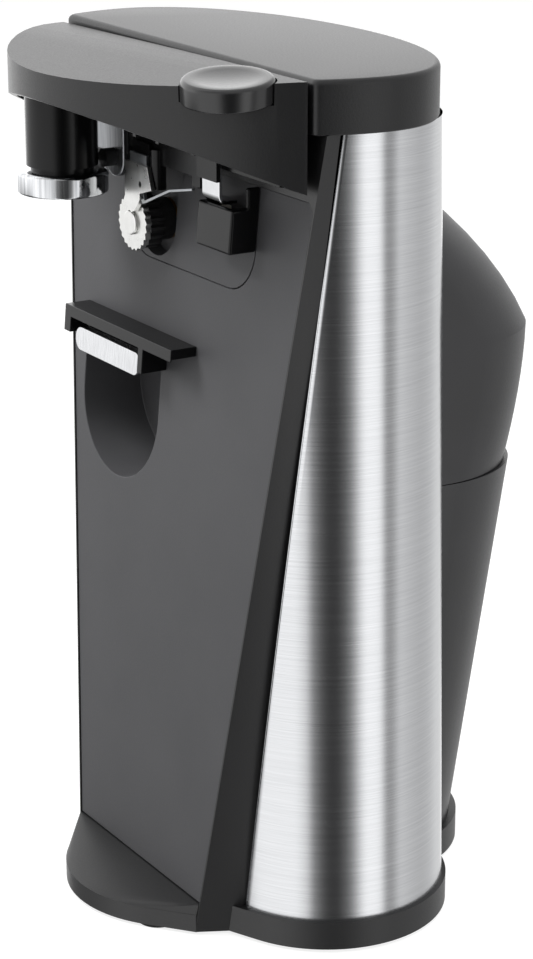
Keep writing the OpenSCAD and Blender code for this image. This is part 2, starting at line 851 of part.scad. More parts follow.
// Front ends of the base ring, which wrap round the housing's lower corners
module ring_ends(grow = 0) {
    intersection() {
        union()
            for (s = [-1, 1])
                hull() {
                    translate([s * lobe_x, lobe_y]) circle(lobe_r + grow, $fn = 96);
                    translate([s * (lobe_x + 5), lobe_y - 34.1]) circle(1.4 + grow, $fn = 24);
                }
        for (s = [-1, 1])
            translate([s * (lobe_x + 3.6 - grow), -60])
                mirror([s < 0 ? 1 : 0, 0]) square([20, 60 + edge_foot.y + 1.4 + grow]);
    }
}

base_screw_c = [[-26, 20.6], [26, 20.6], [-32.5, -33], [32.5, -33]];
base_boss_h = 10;
pad_c = [[-20, -54], [20, -54], [-44, -2], [44, -2], [0, 40]];

module rubber_feet() {
    color("#101010")
        for (c = pad_c)
            translate([c.x, c.y, 0]) cylinder(r = pad_r, h = pad_h, $fn = 48);
}

module screw_up(x, y, z, len) {
    translate([x, y, z]) screw(len);
}

// A screw along -Y whose head lies at y
module screw_back(c, y, len) {
    translate([c.x, y, c.y]) rotate([90, 0, 0]) screw(len);
}

// A screw along +Y whose head lies at y
module screw_front(c, y, len) {
    translate([c.x, y, c.y]) rotate([-90, 0, 0]) screw(len);
}

// A screw along +Z with its slotted head below the origin
module screw(len) {
    cylinder(r = screw_r, h = len, $fn = 32);
    difference() {
        translate([0, 0, -1.6]) cylinder(r = 2.8, h = 1.6, $fn = 32);
        for (a = [0, 90])
            rotate([0, 0, a]) translate([-2, -0.35, -2]) cube([4, 0.7, 1.4]);
    }
}

// Gears

function involute(a) = tan(a) * 180 / PI - a;

// A spur gear in the plane, with a tooth centred at angle turn
module gear_outline(teeth, mod, turn, tip_k = 0.75) {
    rp = teeth * mod / 2;
    rb = rp * cos(20);
    tip = rp + tip_k * mod;
    root = rp - 1.15 * mod;
    half = 90 / teeth - tooth_play / (2 * rp) * 180 / PI;
    low = max(root, rb);
    function reach(r) = half + involute(20) - involute(acos(min(1, rb / r)));
    flank = [for (i = [0:3]) let (r = low + (tip - low) * i / 3) [r, reach(r)]];
    polygon([for (t = [0:teeth - 1]) let (a = turn + 360 * t / teeth)
        each concat([polar(root, a - reach(low))],
            [for (f = flank) polar(f[0], a - f[1])],
            [for (i = [3:-1:0]) polar(flank[i][0], a + flank[i][1])],
            [polar(root, a + reach(low))])]);
}

module gear(c, y0, face, teeth, mod, turn, tip_k = 0.75) {
    slab(y0, y0 + face)
        translate(c) gear_outline(teeth, mod, turn, tip_k);
}

function heading(a, b) = atan2(b.y - a.y, b.x - a.x);

module output_gear() {
    turn = heading(mid_c, out_c) + 180 + 180 / out_teeth;
    color("#e6e2d6")
        difference() {
            union() {
                gear(out_c, out_y, out_face, out_teeth, mod_out, turn);
                rod(out_c, out_y - 1, out_y + out_face + 3, shaft_r + 3);
            }
            rod(out_c, -60, 20, shaft_r + run_clear);
            for (a = [0:60:300])
                rod(out_c + polar(12, a), -60, 20, 3);
        }
}

// A wheel with a pinion in front of it, turning on a pin
module idler(c, y0, wheel_teeth, wheel_mod, wheel_turn, pinion_y, pinion_face, pinion_mod,
             pinion_turn, holes) {
    difference() {
        union() {
            gear(c, y0, gear_face, wheel_teeth, wheel_mod, wheel_turn);
            gear(c, pinion_y, pinion_face, pinion_teeth, pinion_mod, pinion_turn, 0.85);
            rod(c, pinion_y, y0 + gear_face + 0.6, pin_r + 1.6);
        }
        rod(c, -60, 20, pin_r + run_clear);
        for (a = [0:72:288])
            rod(c + polar(holes, a), -60, 20, 2.6);
    }
}

module second_gear() {
    color("#e6e2d6")
        idler(mid_c, mid_y, mid_teeth, mod_mid, heading(in_c, mid_c) + 180 + 180 / mid_teeth,
              out_y, out_face + 1, mod_out, heading(mid_c, out_c), 11);
}

module first_gear() {
    color("#e6e2d6")
        idler(in_c, in_y, in_teeth, mod_in, heading(motor_c, in_c) + 180 + 180 / in_teeth,
              mid_y, gear_face + 1, mod_mid, heading(in_c, mid_c), 10.5);
}

module motor_pinion() {
    color("#b9a36a")
        difference() {
            gear(motor_c, in_y - 0.4, gear_face + 0.8, pinion_teeth, mod_in,
                 heading(motor_c, in_c), 0.85);
            rod(motor_c, -60, 20, motor_shaft_r);
        }
}

// Gear plates and what holds them

module plate_outline() {
    hull()
        for (c = concat(pillar_c, [[pivot_x - 1, pivot_z]]))
            translate(c) circle(6, $fn = 32);
}

module gear_plate_front() {
    color("#b4b6b8")
        difference() {
            slab(plate_y, plate_back) plate_outline();
            // the cap recess passes through
            cap_recess(cap_r + cap_wall + 0.6, 10, cap_deep + 8);
            rod(out_c, -60, 20, shaft_r + 0.6);
            for (c = [mid_c, in_c]) rod(c, -60, 20, pin_r);
            for (c = pillar_c) rod(c, -60, 20, screw_r + run_clear);
            rod([pivot_x, pivot_z], -60, 20, pivot_r);
        }
}

module gear_plate_rear() {
    color("#b4b6b8")
        difference() {
            slab(rear_plate_y, rear_plate_back) plate_outline();
            rod(out_c, -60, 20, shaft_r + 1.4 + fit);
            for (c = [mid_c, in_c]) rod(c, -60, 20, pin_r);
            for (c = pillar_c) rod(c, -60, 20, screw_r + run_clear);
            rod(motor_c, -60, 20, bush_r + 0.4);
            for (s = [-1, 1])
                rod(motor_c + [s * leg_x, 0], -60, 20, screw_r);
        }
}

module gear_pillars() {
    color("#9c9ea0")
        for (c = pillar_c)
            difference() {
                rod(c, plate_back, rear_plate_y, pillar_r);
                rod(c, -60, 20, screw_r + run_clear);
            }
}

module gear_screws() {
    color("#8c8e90")
        for (c = pillar_c)
            screw_back(c, rear_plate_back, rear_plate_back - plate_y + 4);
}

module gear_pins() {
    color("#a8aaac")
        for (c = [mid_c, in_c])
            rod(c, plate_y, rear_plate_back, pin_r);
}

module drive_bushes() {
    front = [pocket_y - 0.8, plate_y - fit, pocket_y - 0.8, pocket_y];
    rear = [rear_plate_y, rear_plate_back + 2, rear_plate_back, rear_plate_back + 2];
    color("#a8793a")
        for (b = [front, rear])
            difference() {
                union() {
                    rod(out_c, b[0], b[1], shaft_r + 1.4);
                    rod(out_c, b[2], b[3], shaft_r + 2.5);
                }
                rod(out_c, -60, 20, shaft_r + run_clear);
            }
}

module housing_screws() {
    color("#8c8e90")
        union() {
            for (c = joint_screw_c)
                screw_back(c, flat_y(c.y) + 0.25, flat_y(c.y) - joint_y + 3.25);
            for (c = cover_screw_c)
                screw_front(c, flat_y(c.y) - wall - 0.1, wall + 10);
        }
}

module drive_shaft() {
    color("#b0b2b4") rod(out_c, wheel_y, rear_plate_back + 2, shaft_r);
}

module drive_wheel() {
    color("#dcdcda")
        difference() {
            slab(wheel_y, wheel_y + wheel_t)
                translate(out_c)
                    polygon([for (t = [0:wheel_teeth - 1]) let (a = 360 * t / wheel_teeth)
                        each [polar(wheel_r - 0.6, a), polar(wheel_r, a + 100 / wheel_teeth),
                              polar(wheel_r, a + 150 / wheel_teeth)]]);
            rod(out_c, -60, 20, shaft_r + run_clear);
        }
}

module wheel_nut() {
    color("#d6d6d2") rod(out_c, wheel_y - 0.9, wheel_y, shaft_r + 0.3);
}

module drive_collar() {
    y0 = wheel_y + wheel_t;
    color("#161617")
        difference() {
            union() {
                slab(y0, y0 + collar_len)
                    translate(out_c)
                        polygon([for (t = [0:17]) let (a = 20 * t)
                            each [polar(wheel_r - 1.3, a), polar(wheel_r - 1.3, a + 7),
                                  polar(wheel_r - 0.4, a + 10), polar(wheel_r - 0.4, a + 16)]]);
                rod(out_c, y0, pocket_y - 1, wheel_r - 2);
            }
            rod(out_c, -60, 20, shaft_r + run_clear);
        }
}

// Motor

module stator_core() {
    top = 21;
    leg_w = 8;
    w = stator_half_w;
    bar_z0 = coil_z - core_h / 2;
    color("#6e7275")
        difference() {
            slab(stack_y, stack_back)
                translate(motor_c)
                    difference() {
                        translate([-w, bar_z0]) square([2 * w, top - bar_z0]);
                        translate([-w + leg_w, bar_z0 + core_h])
                            square([2 * (w - leg_w), -top - bar_z0 - core_h + 3]);
                        circle(rotor_r + air_gap, $fn = 96);
                    }
            for (s = [-1, 1])
                rod(motor_c + [s * leg_x, 0], -60, 60, screw_r + run_clear);
        }
}

coil_half_w = 16.5;
coil_wall = 1;
coil_over = 5;

// A box around the coil's bar, grown by g
module coil_box(g, half_w) {
    translate([motor_c.x - half_w, stack_y - g, motor_c.y + coil_z - core_h / 2 - g])
        cube([2 * half_w, stack_d + 2 * g, core_h + 2 * g]);
}

module coil_bobbin() {
    color("#efe9dc")
        difference() {
            union() {
                coil_box(fit + coil_wall, coil_half_w);
                for (s = [-1, 1])
                    translate([s * (coil_half_w - coil_wall / 2), 0, 0])
                        coil_box(coil_over, coil_wall / 2);
            }
            coil_box(fit, coil_half_w + 10);
        }
}

module motor_coil() {
    color("#b06a2c")
        difference() {
            coil_box(coil_over - 0.4, coil_half_w - coil_wall - fit);
            coil_box(2 * fit + coil_wall, coil_half_w + 10);
        }
}

// Strap across the motor with two legs and a bush seat
module motor_strap(y0, y1, strap_y, seat0, seat1) {
    difference() {
        union() {
            slab(strap_y, strap_y + 2)
                translate(motor_c) round_rect(-leg_x - 4, -7, leg_x + 4, 7, 3.9);
            for (s = [-1, 1])
                rod(motor_c + [s * leg_x, 0], y0, y1, 3.6);
            rod(motor_c, seat0, seat1, bush_r);
        }
        for (s = [-1, 1])
            rod(motor_c + [s * leg_x, 0], -60, 60, screw_r + run_clear);
        rod(motor_c, -60, 60, motor_shaft_r + 1.4 + run_clear);
    }
}

module motor_bracket_front() {
    color("#a5a7a9")
        motor_strap(rear_plate_back, stack_y, rear_plate_back + 2, rear_plate_back + 0.4,
                    rear_plate_back + 6);
}

module motor_bracket_rear() {
    color("#a5a7a9")
        motor_strap(stack_back, stack_back + bracket_gap, stack_back + bracket_gap - 2,
                    stack_back + 2, stack_back + bracket_gap + 0.6);
}

module motor_bushes() {
    color("#a8793a")
        for (y = [rear_plate_back + 0.4, stack_back + 2])
            difference() {
                rod(motor_c, y, y + 5.6, motor_shaft_r + 1.4);
                rod(motor_c, -60, 60, motor_shaft_r + run_clear);
            }
}

module motor_screws() {
    head_y = stack_back + bracket_gap;
    color("#8c8e90")
        for (s = [-1, 1])
            screw_back(motor_c + [s * leg_x, 0], head_y, head_y - rear_plate_y);
}

module motor_rotor() {
    color("#8f9294")
        union() {
            rod(motor_c, stack_y, stack_back, rotor_r);
            rod(motor_c, in_y - 0.4, motor_end, motor_shaft_r);
        }
}

module motor_fan() {
    y0 = stack_back + bracket_gap + 3.5;
    color("#d9d4c4")
        difference() {
            union() {
                rod(motor_c, y0, y0 + 8, motor_shaft_r + 2.6);
                rod(motor_c, y0, y0 + 1.2, fan_r);
                for (a = [0:45:315])
                    translate([motor_c.x, y0, motor_c.y])
                        rotate([-90, 0, 0])
                            rotate([0, 0, a])
                                translate([4, -0.6, 0]) cube([fan_r - 4.5, 1.2, 8]);
            }
            rod(motor_c, -60, 90, motor_shaft_r);
        }
}

// Switch

module switch_body() {
    button_z = plunger_z - plunger_travel - 0.1;
    color("#26262a")
        translate([plunger_x - 10, plate_y - 6.4, button_z - 10.4])
            union() {
                cube([20, 6.4, 10]);
                translate([10, 3.2, 9.5]) cylinder(r = 1.2, h = 0.9, $fn = 24);
            }
}

module switch_plunger() {
    arm_y = plate_y - 2;
    color("#d8d6d0")
        union() {
            translate([plunger_x, plunger_y, plunger_z])
                cylinder(r = 1.8, h = block_z1 - 1 - plunger_z, $fn = 40);
            translate([plunger_x - 2.2, plunger_y - 2.2, plunger_z])
                cube([4.4, arm_y - plunger_y + 2.2, 2.6]);
        }
}

module plunger_spring() {
    wire = 0.25;
    z0 = block_z0 + block_floor + wire;
    color("#c4c6c8")
        for (i = [0:2])
            translate([plunger_x, plunger_y, z0 + i * (plunger_z - wire - z0) / 2])
                rotate_extrude($fn = 40)
                    translate([1.5, 0]) circle(wire * 0.98, $fn = 16);
}

// Lever

module lever_pivot_pin() {
    color("#9a9c9e") rod([pivot_x, pivot_z], hub_y - clip_len + 0.8, plate_back, pivot_r);
}

module pivot_clip() {
    color("#2c2d30")
        difference() {
            rod([pivot_x, pivot_z], hub_y - clip_len, hub_y - fit, pivot_r + 0.5);
            rod([pivot_x, pivot_z], hub_y - clip_len + 0.8, 0, pivot_r);
        }
}

// Everything lower than the lever's sloping top moved down by drop
module under_top(drop) {
    bend = tan(lever_top_fall) + 0.05;       // turn of the gently domed face
    intersection_for (t = [-0.5, -0.25, 0, 0.25, 0.5]) {
        round_off = 150 * (1 / cos(bend * 90 / PI) - 1 / cos(t * bend * 180 / PI));
        beyond([seam_x1, seam_y, body_h - drop - round_off],
               [tan(lever_roll) * (0.5 - t), (t + 0.5) * bend - 0.05, -1]);
    }
}

// Solid under the lever's sloping top and above its rising lower edge
module lever_space() {
    difference() {
        intersection() {
            translate([-100, -120, body_h - 50]) cube([200, 120, 60]);
            under_top(0);
        }
        beyond([0, lever_y, lever_back_z], [0, -sin(lever_edge_rise), -cos(lever_edge_rise)]);
    }
}

module thumb_place() {
    translate(thumb_c)
        rotate([0, 0, thumb_turn])
            rotate([0, thumb_tilt, 0])
                children();
}

module lever_cover() {
    step_z = cover_z - 0.6;
    color("#232324")
        difference() {
            intersection() {
                translate([0, 0, body_h - 50]) linear_extrude(60) front_oval();
                lever_space();
            }
            // straight back below the step
            translate([-100, lever_y, step_z - 50]) cube([200, 20, 50]);
            difference() {
                intersection() {
                    translate([0, 0, body_h - 60]) linear_extrude(70) front_oval(cover_wall);
                    under_top(cover_wall);
                }
                translate([-100, lever_y - cover_wall, step_z - 50])
                    cube([200, 20, 50 + cover_wall]);
                // screw bosses
                for (c = lever_screw_c)
                    translate([c.x, c.y, deck_z + deck_t + fit]) cylinder(r = 3, h = 20, $fn = 40);
            }
            // notch for the thumb pad
            thumb_place()
                translate([0, 0, -thumb_h - 0.2]) cylinder(r = thumb_r + 0.3, h = 20, $fn = 72);
            for (c = lever_screw_c)
                translate([c.x, c.y, deck_z]) cylinder(r = screw_r + run_clear, h = 5.2, $fn = 32);
        }
}

lever_screw_c = [[-40, -44], [-6, -60], [30, -50]];

module lever_frame() {
    front = frame_y - frame_t;
    color("#1a1a1b")
        difference() {
            union() {
                intersection() {
                    translate([0, 0, body_h - 50])
                        linear_extrude(60) front_oval(cover_wall + fit);
                    under_top(cover_wall + fit);
                    union() {
                        // upright back wall, higher where the tongue passes
                        translate([-60, front, frame_z]) cube([60 + block_x0 - 0.4, frame_t, 40]);
                        translate([block_x0 - 1, front, tongue_top]) cube([50, frame_t, 40]);
                        // deck under the cover
                        translate([-70, -80, deck_z]) cube([140, 80, deck_t]);
                        for (x = [-50, -46, 8, 20, 38])
                            translate([x, front - 12, frame_z + 10])
                                cube([1.6, 13, deck_z - frame_z - 9.5]);
                    }
                }
                // blocks that carry the blade and the rim guide
                translate([shaft_x - 0.5, rim_y + rim_t, shaft_z + 10])
                    cube([9.5, front - rim_y - rim_t + 1, frame_z + 5 - shaft_z - 10]);
                translate([shaft_x + 11.5, frame_y - 2.2, shaft_z + 10.9])
                    cylinder(r = 2.1, h = frame_z + 4 - shaft_z - 10.9, $fn = 32);
                // nose over the guide block, and a lip in front of the tongue
                translate([shaft_x + 29.6, front, frame_z - 2.7]) cube([4.2, 1.5, 4]);
                translate([plunger_x - 4.8, front - 2.3, frame_z + 1.2]) cube([10, 1.2, deck_z - frame_z]);
                translate([plunger_x - 4.8, front - 2.3, deck_z - 3]) cube([10, 3, 4]);
            }
            slab(-90, 0) hub_outline(run_clear);
            translate([magnet_x, magnet_y, deck_z - 50]) cylinder(r = post_r + fit, h = 50, $fn = 64);
            thumb_place() translate([0, 0, -thumb_h - 0.4]) cylinder(r = thumb_r + 0.4, h = 30, $fn = 72);
            rod(blade_hole, -90, 0, 0.8 + run_clear);
            for (c = lever_screw_c)
                translate([c.x, c.y, deck_z - 50])
                    cylinder(r = screw_r + run_clear, h = 80, $fn = 32);
        }
}

rim_t = 1;
rim_y = blade_y + blade_t;                   // front face of the rim guide
blade_hole = [shaft_x + 7.4, shaft_z + 11.8];
hub_len = 7.6;
tongue_top = body_h - 26.6;                  // lower edge of the frame above the tongue

module hub_outline(grow = 0) {
    hull() {
        translate([pivot_x, pivot_z]) circle(hub_r + grow, $fn = 64);
        translate([pivot_x - hub_r - grow, pivot_z + 12]) square([2 * (hub_r + grow), 1]);
    }
}

module pivot_hub() {
    color("#b9bbbe")
        difference() {
            union() {
                slab(hub_y, frame_y - 0.1) hub_outline();
                intersection() {
                    slab(hub_y, hub_y + hub_len) hub_outline();
                    translate([-80, -80, lever_back_z - 20.4]) cube([160, 80, 20]);
                }
                // arm that carries the hub on the frame
                slab(hub_y, frame_y - frame_t)
                    translate([pivot_x - 14, pivot_z + 1]) square([15, 12]);
            }
            rod([pivot_x, pivot_z], -90, 0, pivot_r + run_clear);
        }
}

module cutting_blade() {
    color("#e4e4e2")
        difference() {
            slab(blade_y, blade_y + blade_t)
                translate(out_c)
                    polygon([[2.2, 3.3], [4.2, 4.0], [6.2, 6.2], [7.2, 7.6], [7.2, 9.2],
                             [13.6, 11.1], [11.4, 17.1], [-0.9, 17.1], [-0.9, 6.9]]);
            rod(blade_hole, -90, 0, 0.8 + run_clear);
        }
}

module blade_screw() {
    color("#505254") rod(blade_hole, blade_y + 0.3, frame_y - 1, 0.8);
}

module rim_guide() {
    color("#b8babc")
        difference() {
            slab(rim_y, rim_y + rim_t)
                translate(out_c)
                    polygon([[0, 9.2], [5.2, 9.2], [5.8, 6.2], [7.9, 6.6], [21.2, 12], [33, 14.4],
                             [33, 15], [21, 12.6], [7.7, 7.3], [6.9, 10.2], [9, 10.9],
                             [9, 19.6], [0, 19.6]]);
            rod(blade_hole, -90, 0, 0.8 + run_clear);
        }
}

// Bent chrome tongue: it hangs on the frame and its foot lies over the switch's plunger
module guide_tongue() {
    w = 8.6;
    t = 1;
    bend = 2.4;
    front = frame_y - frame_t;
    low = block_z1 + 0.3;
    back = plunger_y + 1.4;
    color("#e2e3e5")
        translate([plunger_x - w / 2, 0, 0])
            union() {
                translate([0, front - t, low + bend]) cube([w, t, tongue_top + 7.8 - low - bend]);
                translate([0, front - t + bend, low + bend])
                    rotate([90, 0, 90])
                        rotate([0, 0, 180])
                            rotate_extrude(angle = 90, $fn = 64)
                                translate([bend - t, 0]) square([t, w]);
                translate([0, front - t + bend, low]) cube([w, back - front + t - bend, t]);
            }
}

module magnet_post() {
    foot_z = magnet_z + cup_h;
    color("#1c1c1d")
        translate([magnet_x, magnet_y, 0])
            union() {
                translate([0, 0, foot_z + 1.4])
                    cylinder(r = post_r, h = deck_z - foot_z - 1.4, $fn = 64);
                translate([0, 0, magnet_z + 2.4]) cylinder(r = post_r - 1.2, h = cup_h, $fn = 64);
            }
}

module magnet_cup() {
    color("#d2d3d4")
        difference() {
            translate([magnet_x, magnet_y, magnet_z]) cylinder(r = cup_r, h = cup_h, $fn = 96);
            translate([magnet_x, magnet_y, magnet_z + 2.4]) cylinder(r = post_r - 1.2, h = cup_h, $fn = 64);
            translate([magnet_x, magnet_y, magnet_z - 1]) cylinder(r = cup_r - 2, h = 3, $fn = 96);
        }
}

module magnet_disc() {
    color("#4a4a4e")
        translate([magnet_x, magnet_y, magnet_z + 0.3])
            cylinder(r = cup_r - 2 - fit, h = 1.6, $fn = 96);
}

module thumb_pad() {
    color("#29292a")
        thumb_place()
            difference() {
                translate([0, 0, -thumb_h]) cylinder(r = thumb_r, h = thumb_h, $fn = 96);
                translate([0, 0, 39.2]) sphere(r = 40, $fn = 120);
            }
}

module lever_screws() {
    color("#8c8e90")
        for (c = lever_screw_c)
            screw_up(c.x, c.y, deck_z, 4.8);
}

// Knife sharpener in the hump's slope

sharp_z = hump_peak_z + 0.42 * dome_h;
sharp_sunk = 1.9;

// Places its children on the hump's slope, sunk into it
module sharp_frame() {
    slope = atan((dome(sharp_z - 4) - dome(sharp_z + 4)) / 8);
    translate([0, dome(sharp_z), sharp_z])
        rotate([slope - 90, 0, 0]) translate([0, 0, -sharp_sunk]) children();
}

module sharpener_insert() {
    deep = 17;
    color("#1e1e1f")
        sharp_frame()
            difference() {
                translate([-sharp_w / 2, -sharp_len / 2, -deep]) cube([sharp_w, sharp_len, deep]);
                for (x = [-4.2, 4.2])
                    translate([x - knife_slot / 2, -sharp_len, -deep + 5])
                        cube([knife_slot, 2 * sharp_len, deep]);
                translate([-sharp_w / 2 + 1.6, -stone_r - 0.8, -deep - 1])
                    cube([sharp_w - 3.2, 2 * stone_r + 1.6, deep - 2]);
                translate([-sharp_w, 0, -deep + 7])
                    rotate([0, 90, 0]) cylinder(r = 1.2 + run_clear, h = 2 * sharp_w, $fn = 32);
            }
}

module sharpener_spindle() {
    color("#a8aaac")
        sharp_frame()
            translate([-sharp_w / 2, 0, -10])
                rotate([0, 90, 0]) cylinder(r = 1.2, h = sharp_w, $fn = 32);
}

module sharpener_wheels() {
    color("#e9e4d8")
        sharp_frame()
            for (x = [-5.7, -3.7, 2.7, 4.7])
                difference() {
                    translate([x, 0, -10]) rotate([0, 90, 0]) cylinder(r = stone_r, h = 1, $fn = 64);
                    translate([x - 1, 0, -10])
                        rotate([0, 90, 0]) cylinder(r = 1.2 + run_clear, h = 3, $fn = 32);
                }
}

module base_screws() {
    color("#8c8e90")
        for (c = base_screw_c)
            screw_up(c.x, c.y, floor_z + 1.6, base_h + 6);
}

front_housing();
front_panel();
mechanism_plate();
guide_block();
opener_bracket();
opener_plate();
steel_panel_right();
steel_panel_left();
rear_housing();
rear_lower_cover();
rear_top_cover();
base_plate();
rubber_feet();
base_screws();
cord_grommet();
cord_clamp();
sharpener_insert();
sharpener_wheels();
sharpener_spindle();
gear_plate_front();
gear_plate_rear();
gear_pillars();
gear_screws();
drive_bushes();
housing_screws();
gear_pins();
stator_core();
coil_bobbin();
motor_coil();
motor_bracket_front();
motor_bracket_rear();
motor_bushes();
motor_screws();
switch_body();
switch_plunger();
plunger_spring();
lever_pivot_pin();
pivot_clip();
lever_cover();
lever_frame();
pivot_hub();
cutting_blade();
blade_screw();
rim_guide();
guide_tongue();
magnet_post();
magnet_cup();
magnet_disc();
thumb_pad();
lever_screws();
drive_wheel();
drive_collar();
drive_shaft();
wheel_nut();
output_gear();
second_gear();
first_gear();
motor_pinion();
motor_rotor();
motor_fan();
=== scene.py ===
"""Electric can opener: surfaces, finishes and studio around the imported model."""

import json
import math

import bmesh
import bpy
import numpy as np
from mathutils import Matrix, Vector

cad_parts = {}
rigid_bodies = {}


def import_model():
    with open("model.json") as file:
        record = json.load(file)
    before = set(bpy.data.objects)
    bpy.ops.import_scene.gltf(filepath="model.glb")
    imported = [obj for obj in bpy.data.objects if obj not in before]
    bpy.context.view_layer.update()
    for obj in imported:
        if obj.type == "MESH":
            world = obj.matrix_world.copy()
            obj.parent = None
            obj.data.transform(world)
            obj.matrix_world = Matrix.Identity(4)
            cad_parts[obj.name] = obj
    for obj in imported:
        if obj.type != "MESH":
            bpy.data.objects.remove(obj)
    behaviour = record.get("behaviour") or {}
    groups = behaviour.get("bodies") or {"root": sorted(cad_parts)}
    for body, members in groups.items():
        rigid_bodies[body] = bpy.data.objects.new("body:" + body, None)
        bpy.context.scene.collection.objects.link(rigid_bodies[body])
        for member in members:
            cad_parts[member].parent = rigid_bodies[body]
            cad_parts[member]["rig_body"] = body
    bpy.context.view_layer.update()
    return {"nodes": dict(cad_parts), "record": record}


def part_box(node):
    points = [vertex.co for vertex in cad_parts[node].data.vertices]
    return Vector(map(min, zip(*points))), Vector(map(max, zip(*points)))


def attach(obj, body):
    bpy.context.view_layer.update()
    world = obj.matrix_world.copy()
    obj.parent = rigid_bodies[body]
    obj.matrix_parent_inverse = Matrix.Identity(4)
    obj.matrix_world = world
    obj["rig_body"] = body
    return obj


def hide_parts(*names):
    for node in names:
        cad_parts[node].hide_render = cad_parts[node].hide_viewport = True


bl_info = {
    "name": "Electric can opener",
    "version": (1, 0, 0),
    "blender": (4, 5, 0),
    "location": "3D View > Sidebar > Can opener",
    "description": "Builds the outer surfaces, finishes and studio of an upright electric can opener",
    "category": "Add Mesh",
}

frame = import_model()
CAD = frame["nodes"]
MM = 0.001

# Heights and centres that the surfaces share, in millimetres
BODY_TOP = 240.0
COVER_Z = 226.4
BASE_TOP = 8.8
LOBE = np.array([32.4, -6.7])
LOBE_R = 33.2
LOBE_HIGH = np.array([36.9, -12.3])
LOBE_HIGH_R = 31.0
EDGE_OUT = np.array([0.676, -0.737])
EDGE_FOOT = LOBE + (8.3, -31.2)
EDGE_HEAD = LOBE_HIGH + (30.6, -14.3)
FLAT_BACK = 1.4                     # how far the steel's rear end stands from the lobe's centre
STEEL_T = 0.7
STEEL_BEND = 0.34
STEEL_STEPS = 96

# Oval top and its seam
OVAL_HALF_W, OVAL_Y = 71.3, -13.4
OVAL_FRONT, OVAL_BACK = 61.75, 38.4
FRONT_POWER, BACK_POWER = 1.88, 2.08
SEAM_END = np.array([66.5, -34.3])
SEAM_TURN = math.radians(-1.1)
HALF_SEAM = 0.7
LID_WALL, LID_FLOOR, LID_EDGE, LID_OPENING = 2.2, 1.6, 1.6, 13.0


# Mesh helpers

def skin(name, rows, around=True, caps=(), sharp=35.0):
    """A surface through a grid of points: rows[i, j] is point j of curve i, in millimetres.
    around joins the last point of each curve to its first; caps names the end curves, 0 or -1,
    that are closed by one face."""
    m, n = rows.shape[:2]
    i, j = np.meshgrid(np.arange(m - 1), np.arange(n if around else n - 1), indexing="ij")
    k = (j + 1) % n
    quads = np.stack([i * n + j, i * n + k, (i + 1) * n + k, (i + 1) * n + j], -1)
    faces = quads.reshape(-1, 4).tolist()
    if 0 in caps:
        faces.append(np.arange(n)[::-1].tolist())
    if -1 in caps:
        faces.append(((m - 1) * n + np.arange(n)).tolist())
    mesh = bpy.data.meshes.new(name)
    mesh.from_pydata((rows.reshape(-1, 3) * MM).tolist(), [], faces)
    return finished(name, mesh, sharp)


def finished(name, mesh, sharp, merge=2e-6):
    """Joins doubled points, turns the faces outwards, and shades the mesh smooth except at edges
    that bend more than sharp degrees."""
    bm = bmesh.new()
    bm.from_mesh(mesh)
    bmesh.ops.remove_doubles(bm, verts=bm.verts, dist=merge)
    bmesh.ops.recalc_face_normals(bm, faces=bm.faces)
    bm.to_mesh(mesh)
    bm.free()
    mesh.polygons.foreach_set("use_smooth", np.ones(len(mesh.polygons), bool))
    mesh.set_sharp_from_angle(angle=math.radians(sharp))
    piece = bpy.data.objects.new(name, mesh)
    bpy.context.scene.collection.objects.link(piece)
    return piece


def eased(node, name, radius, segments=3, limit=32.0, sharp=32.0):
    """The solid of a CAD node as one closed mesh, with its flat faces made whole and every edge
    that bends more than limit degrees rounded to radius, in millimetres."""
    mesh = CAD[node].data.copy()
    mesh.materials.clear()
    bm = bmesh.new()
    bm.from_mesh(mesh)
    bmesh.ops.remove_doubles(bm, verts=bm.verts, dist=4e-6)
    bmesh.ops.dissolve_limit(bm, angle_limit=math.radians(0.4), verts=bm.verts, edges=bm.edges)
    bm.to_mesh(mesh)
    bm.free()
    mesh.polygons.foreach_set("use_smooth", np.ones(len(mesh.polygons), bool))
    mesh.set_sharp_from_angle(angle=math.radians(sharp))
    piece = bpy.data.objects.new(name, mesh)
    bpy.context.scene.collection.objects.link(piece)
    if radius:
        rounding = piece.modifiers.new("Eased edges", "BEVEL")
        rounding.width = radius * MM
        rounding.segments = segments
        rounding.limit_method = "ANGLE"
        rounding.angle_limit = math.radians(limit)
        rounding.use_clamp_overlap = True
        rounding.miter_outer = "MITER_ARC"
        level = piece.modifiers.new("Flat faces stay flat", "WEIGHTED_NORMAL")
        level.keep_sharp = True
    return piece


def place(piece, node, finish):
    """Gives a piece its material and slot, and lets it stand for its CAD node and ride with it."""
    piece.data.materials.clear()
    piece.data.materials.append(finish)
    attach(piece, CAD[node]["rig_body"])
    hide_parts(node)
    return piece


SLOTS = {part["node"]: part["material_slot"] for part in frame["record"]["subparts"]}


# Materials

def linear(code):
    """The linear red, green, blue and alpha of an sRGB hex colour."""
    c = np.array([int(code[i:i + 2], 16) for i in (1, 3, 5)]) / 255
    c = np.where(c <= 0.04045, c / 12.92, ((c + 0.055) / 1.055) ** 2.4)
    return (*c, 1.0)


def add(tree, kind, links=None, **settings):
    """Adds a node to a tree. settings name its properties and input sockets; links name inputs and
    the output sockets that feed them."""
    node = tree.nodes.new(kind)
    for key, value in settings.items():
        if hasattr(node, key):
            setattr(node, key, value)
        else:
            node.inputs[key.replace("_", " ")].default_value = value
    for key, socket in (links or {}).items():
        tree.links.new(socket, node.inputs[key])
    return node


def material(name):
    """An empty material and its tree, principled shader and object coordinates."""
    mat = bpy.data.materials.new(name)
    mat.use_nodes = True
    tree = mat.node_tree
    shader = tree.nodes["Principled BSDF"]
    where = add(tree, "ShaderNodeTexCoord").outputs["Object"]
    return mat, tree, shader, where


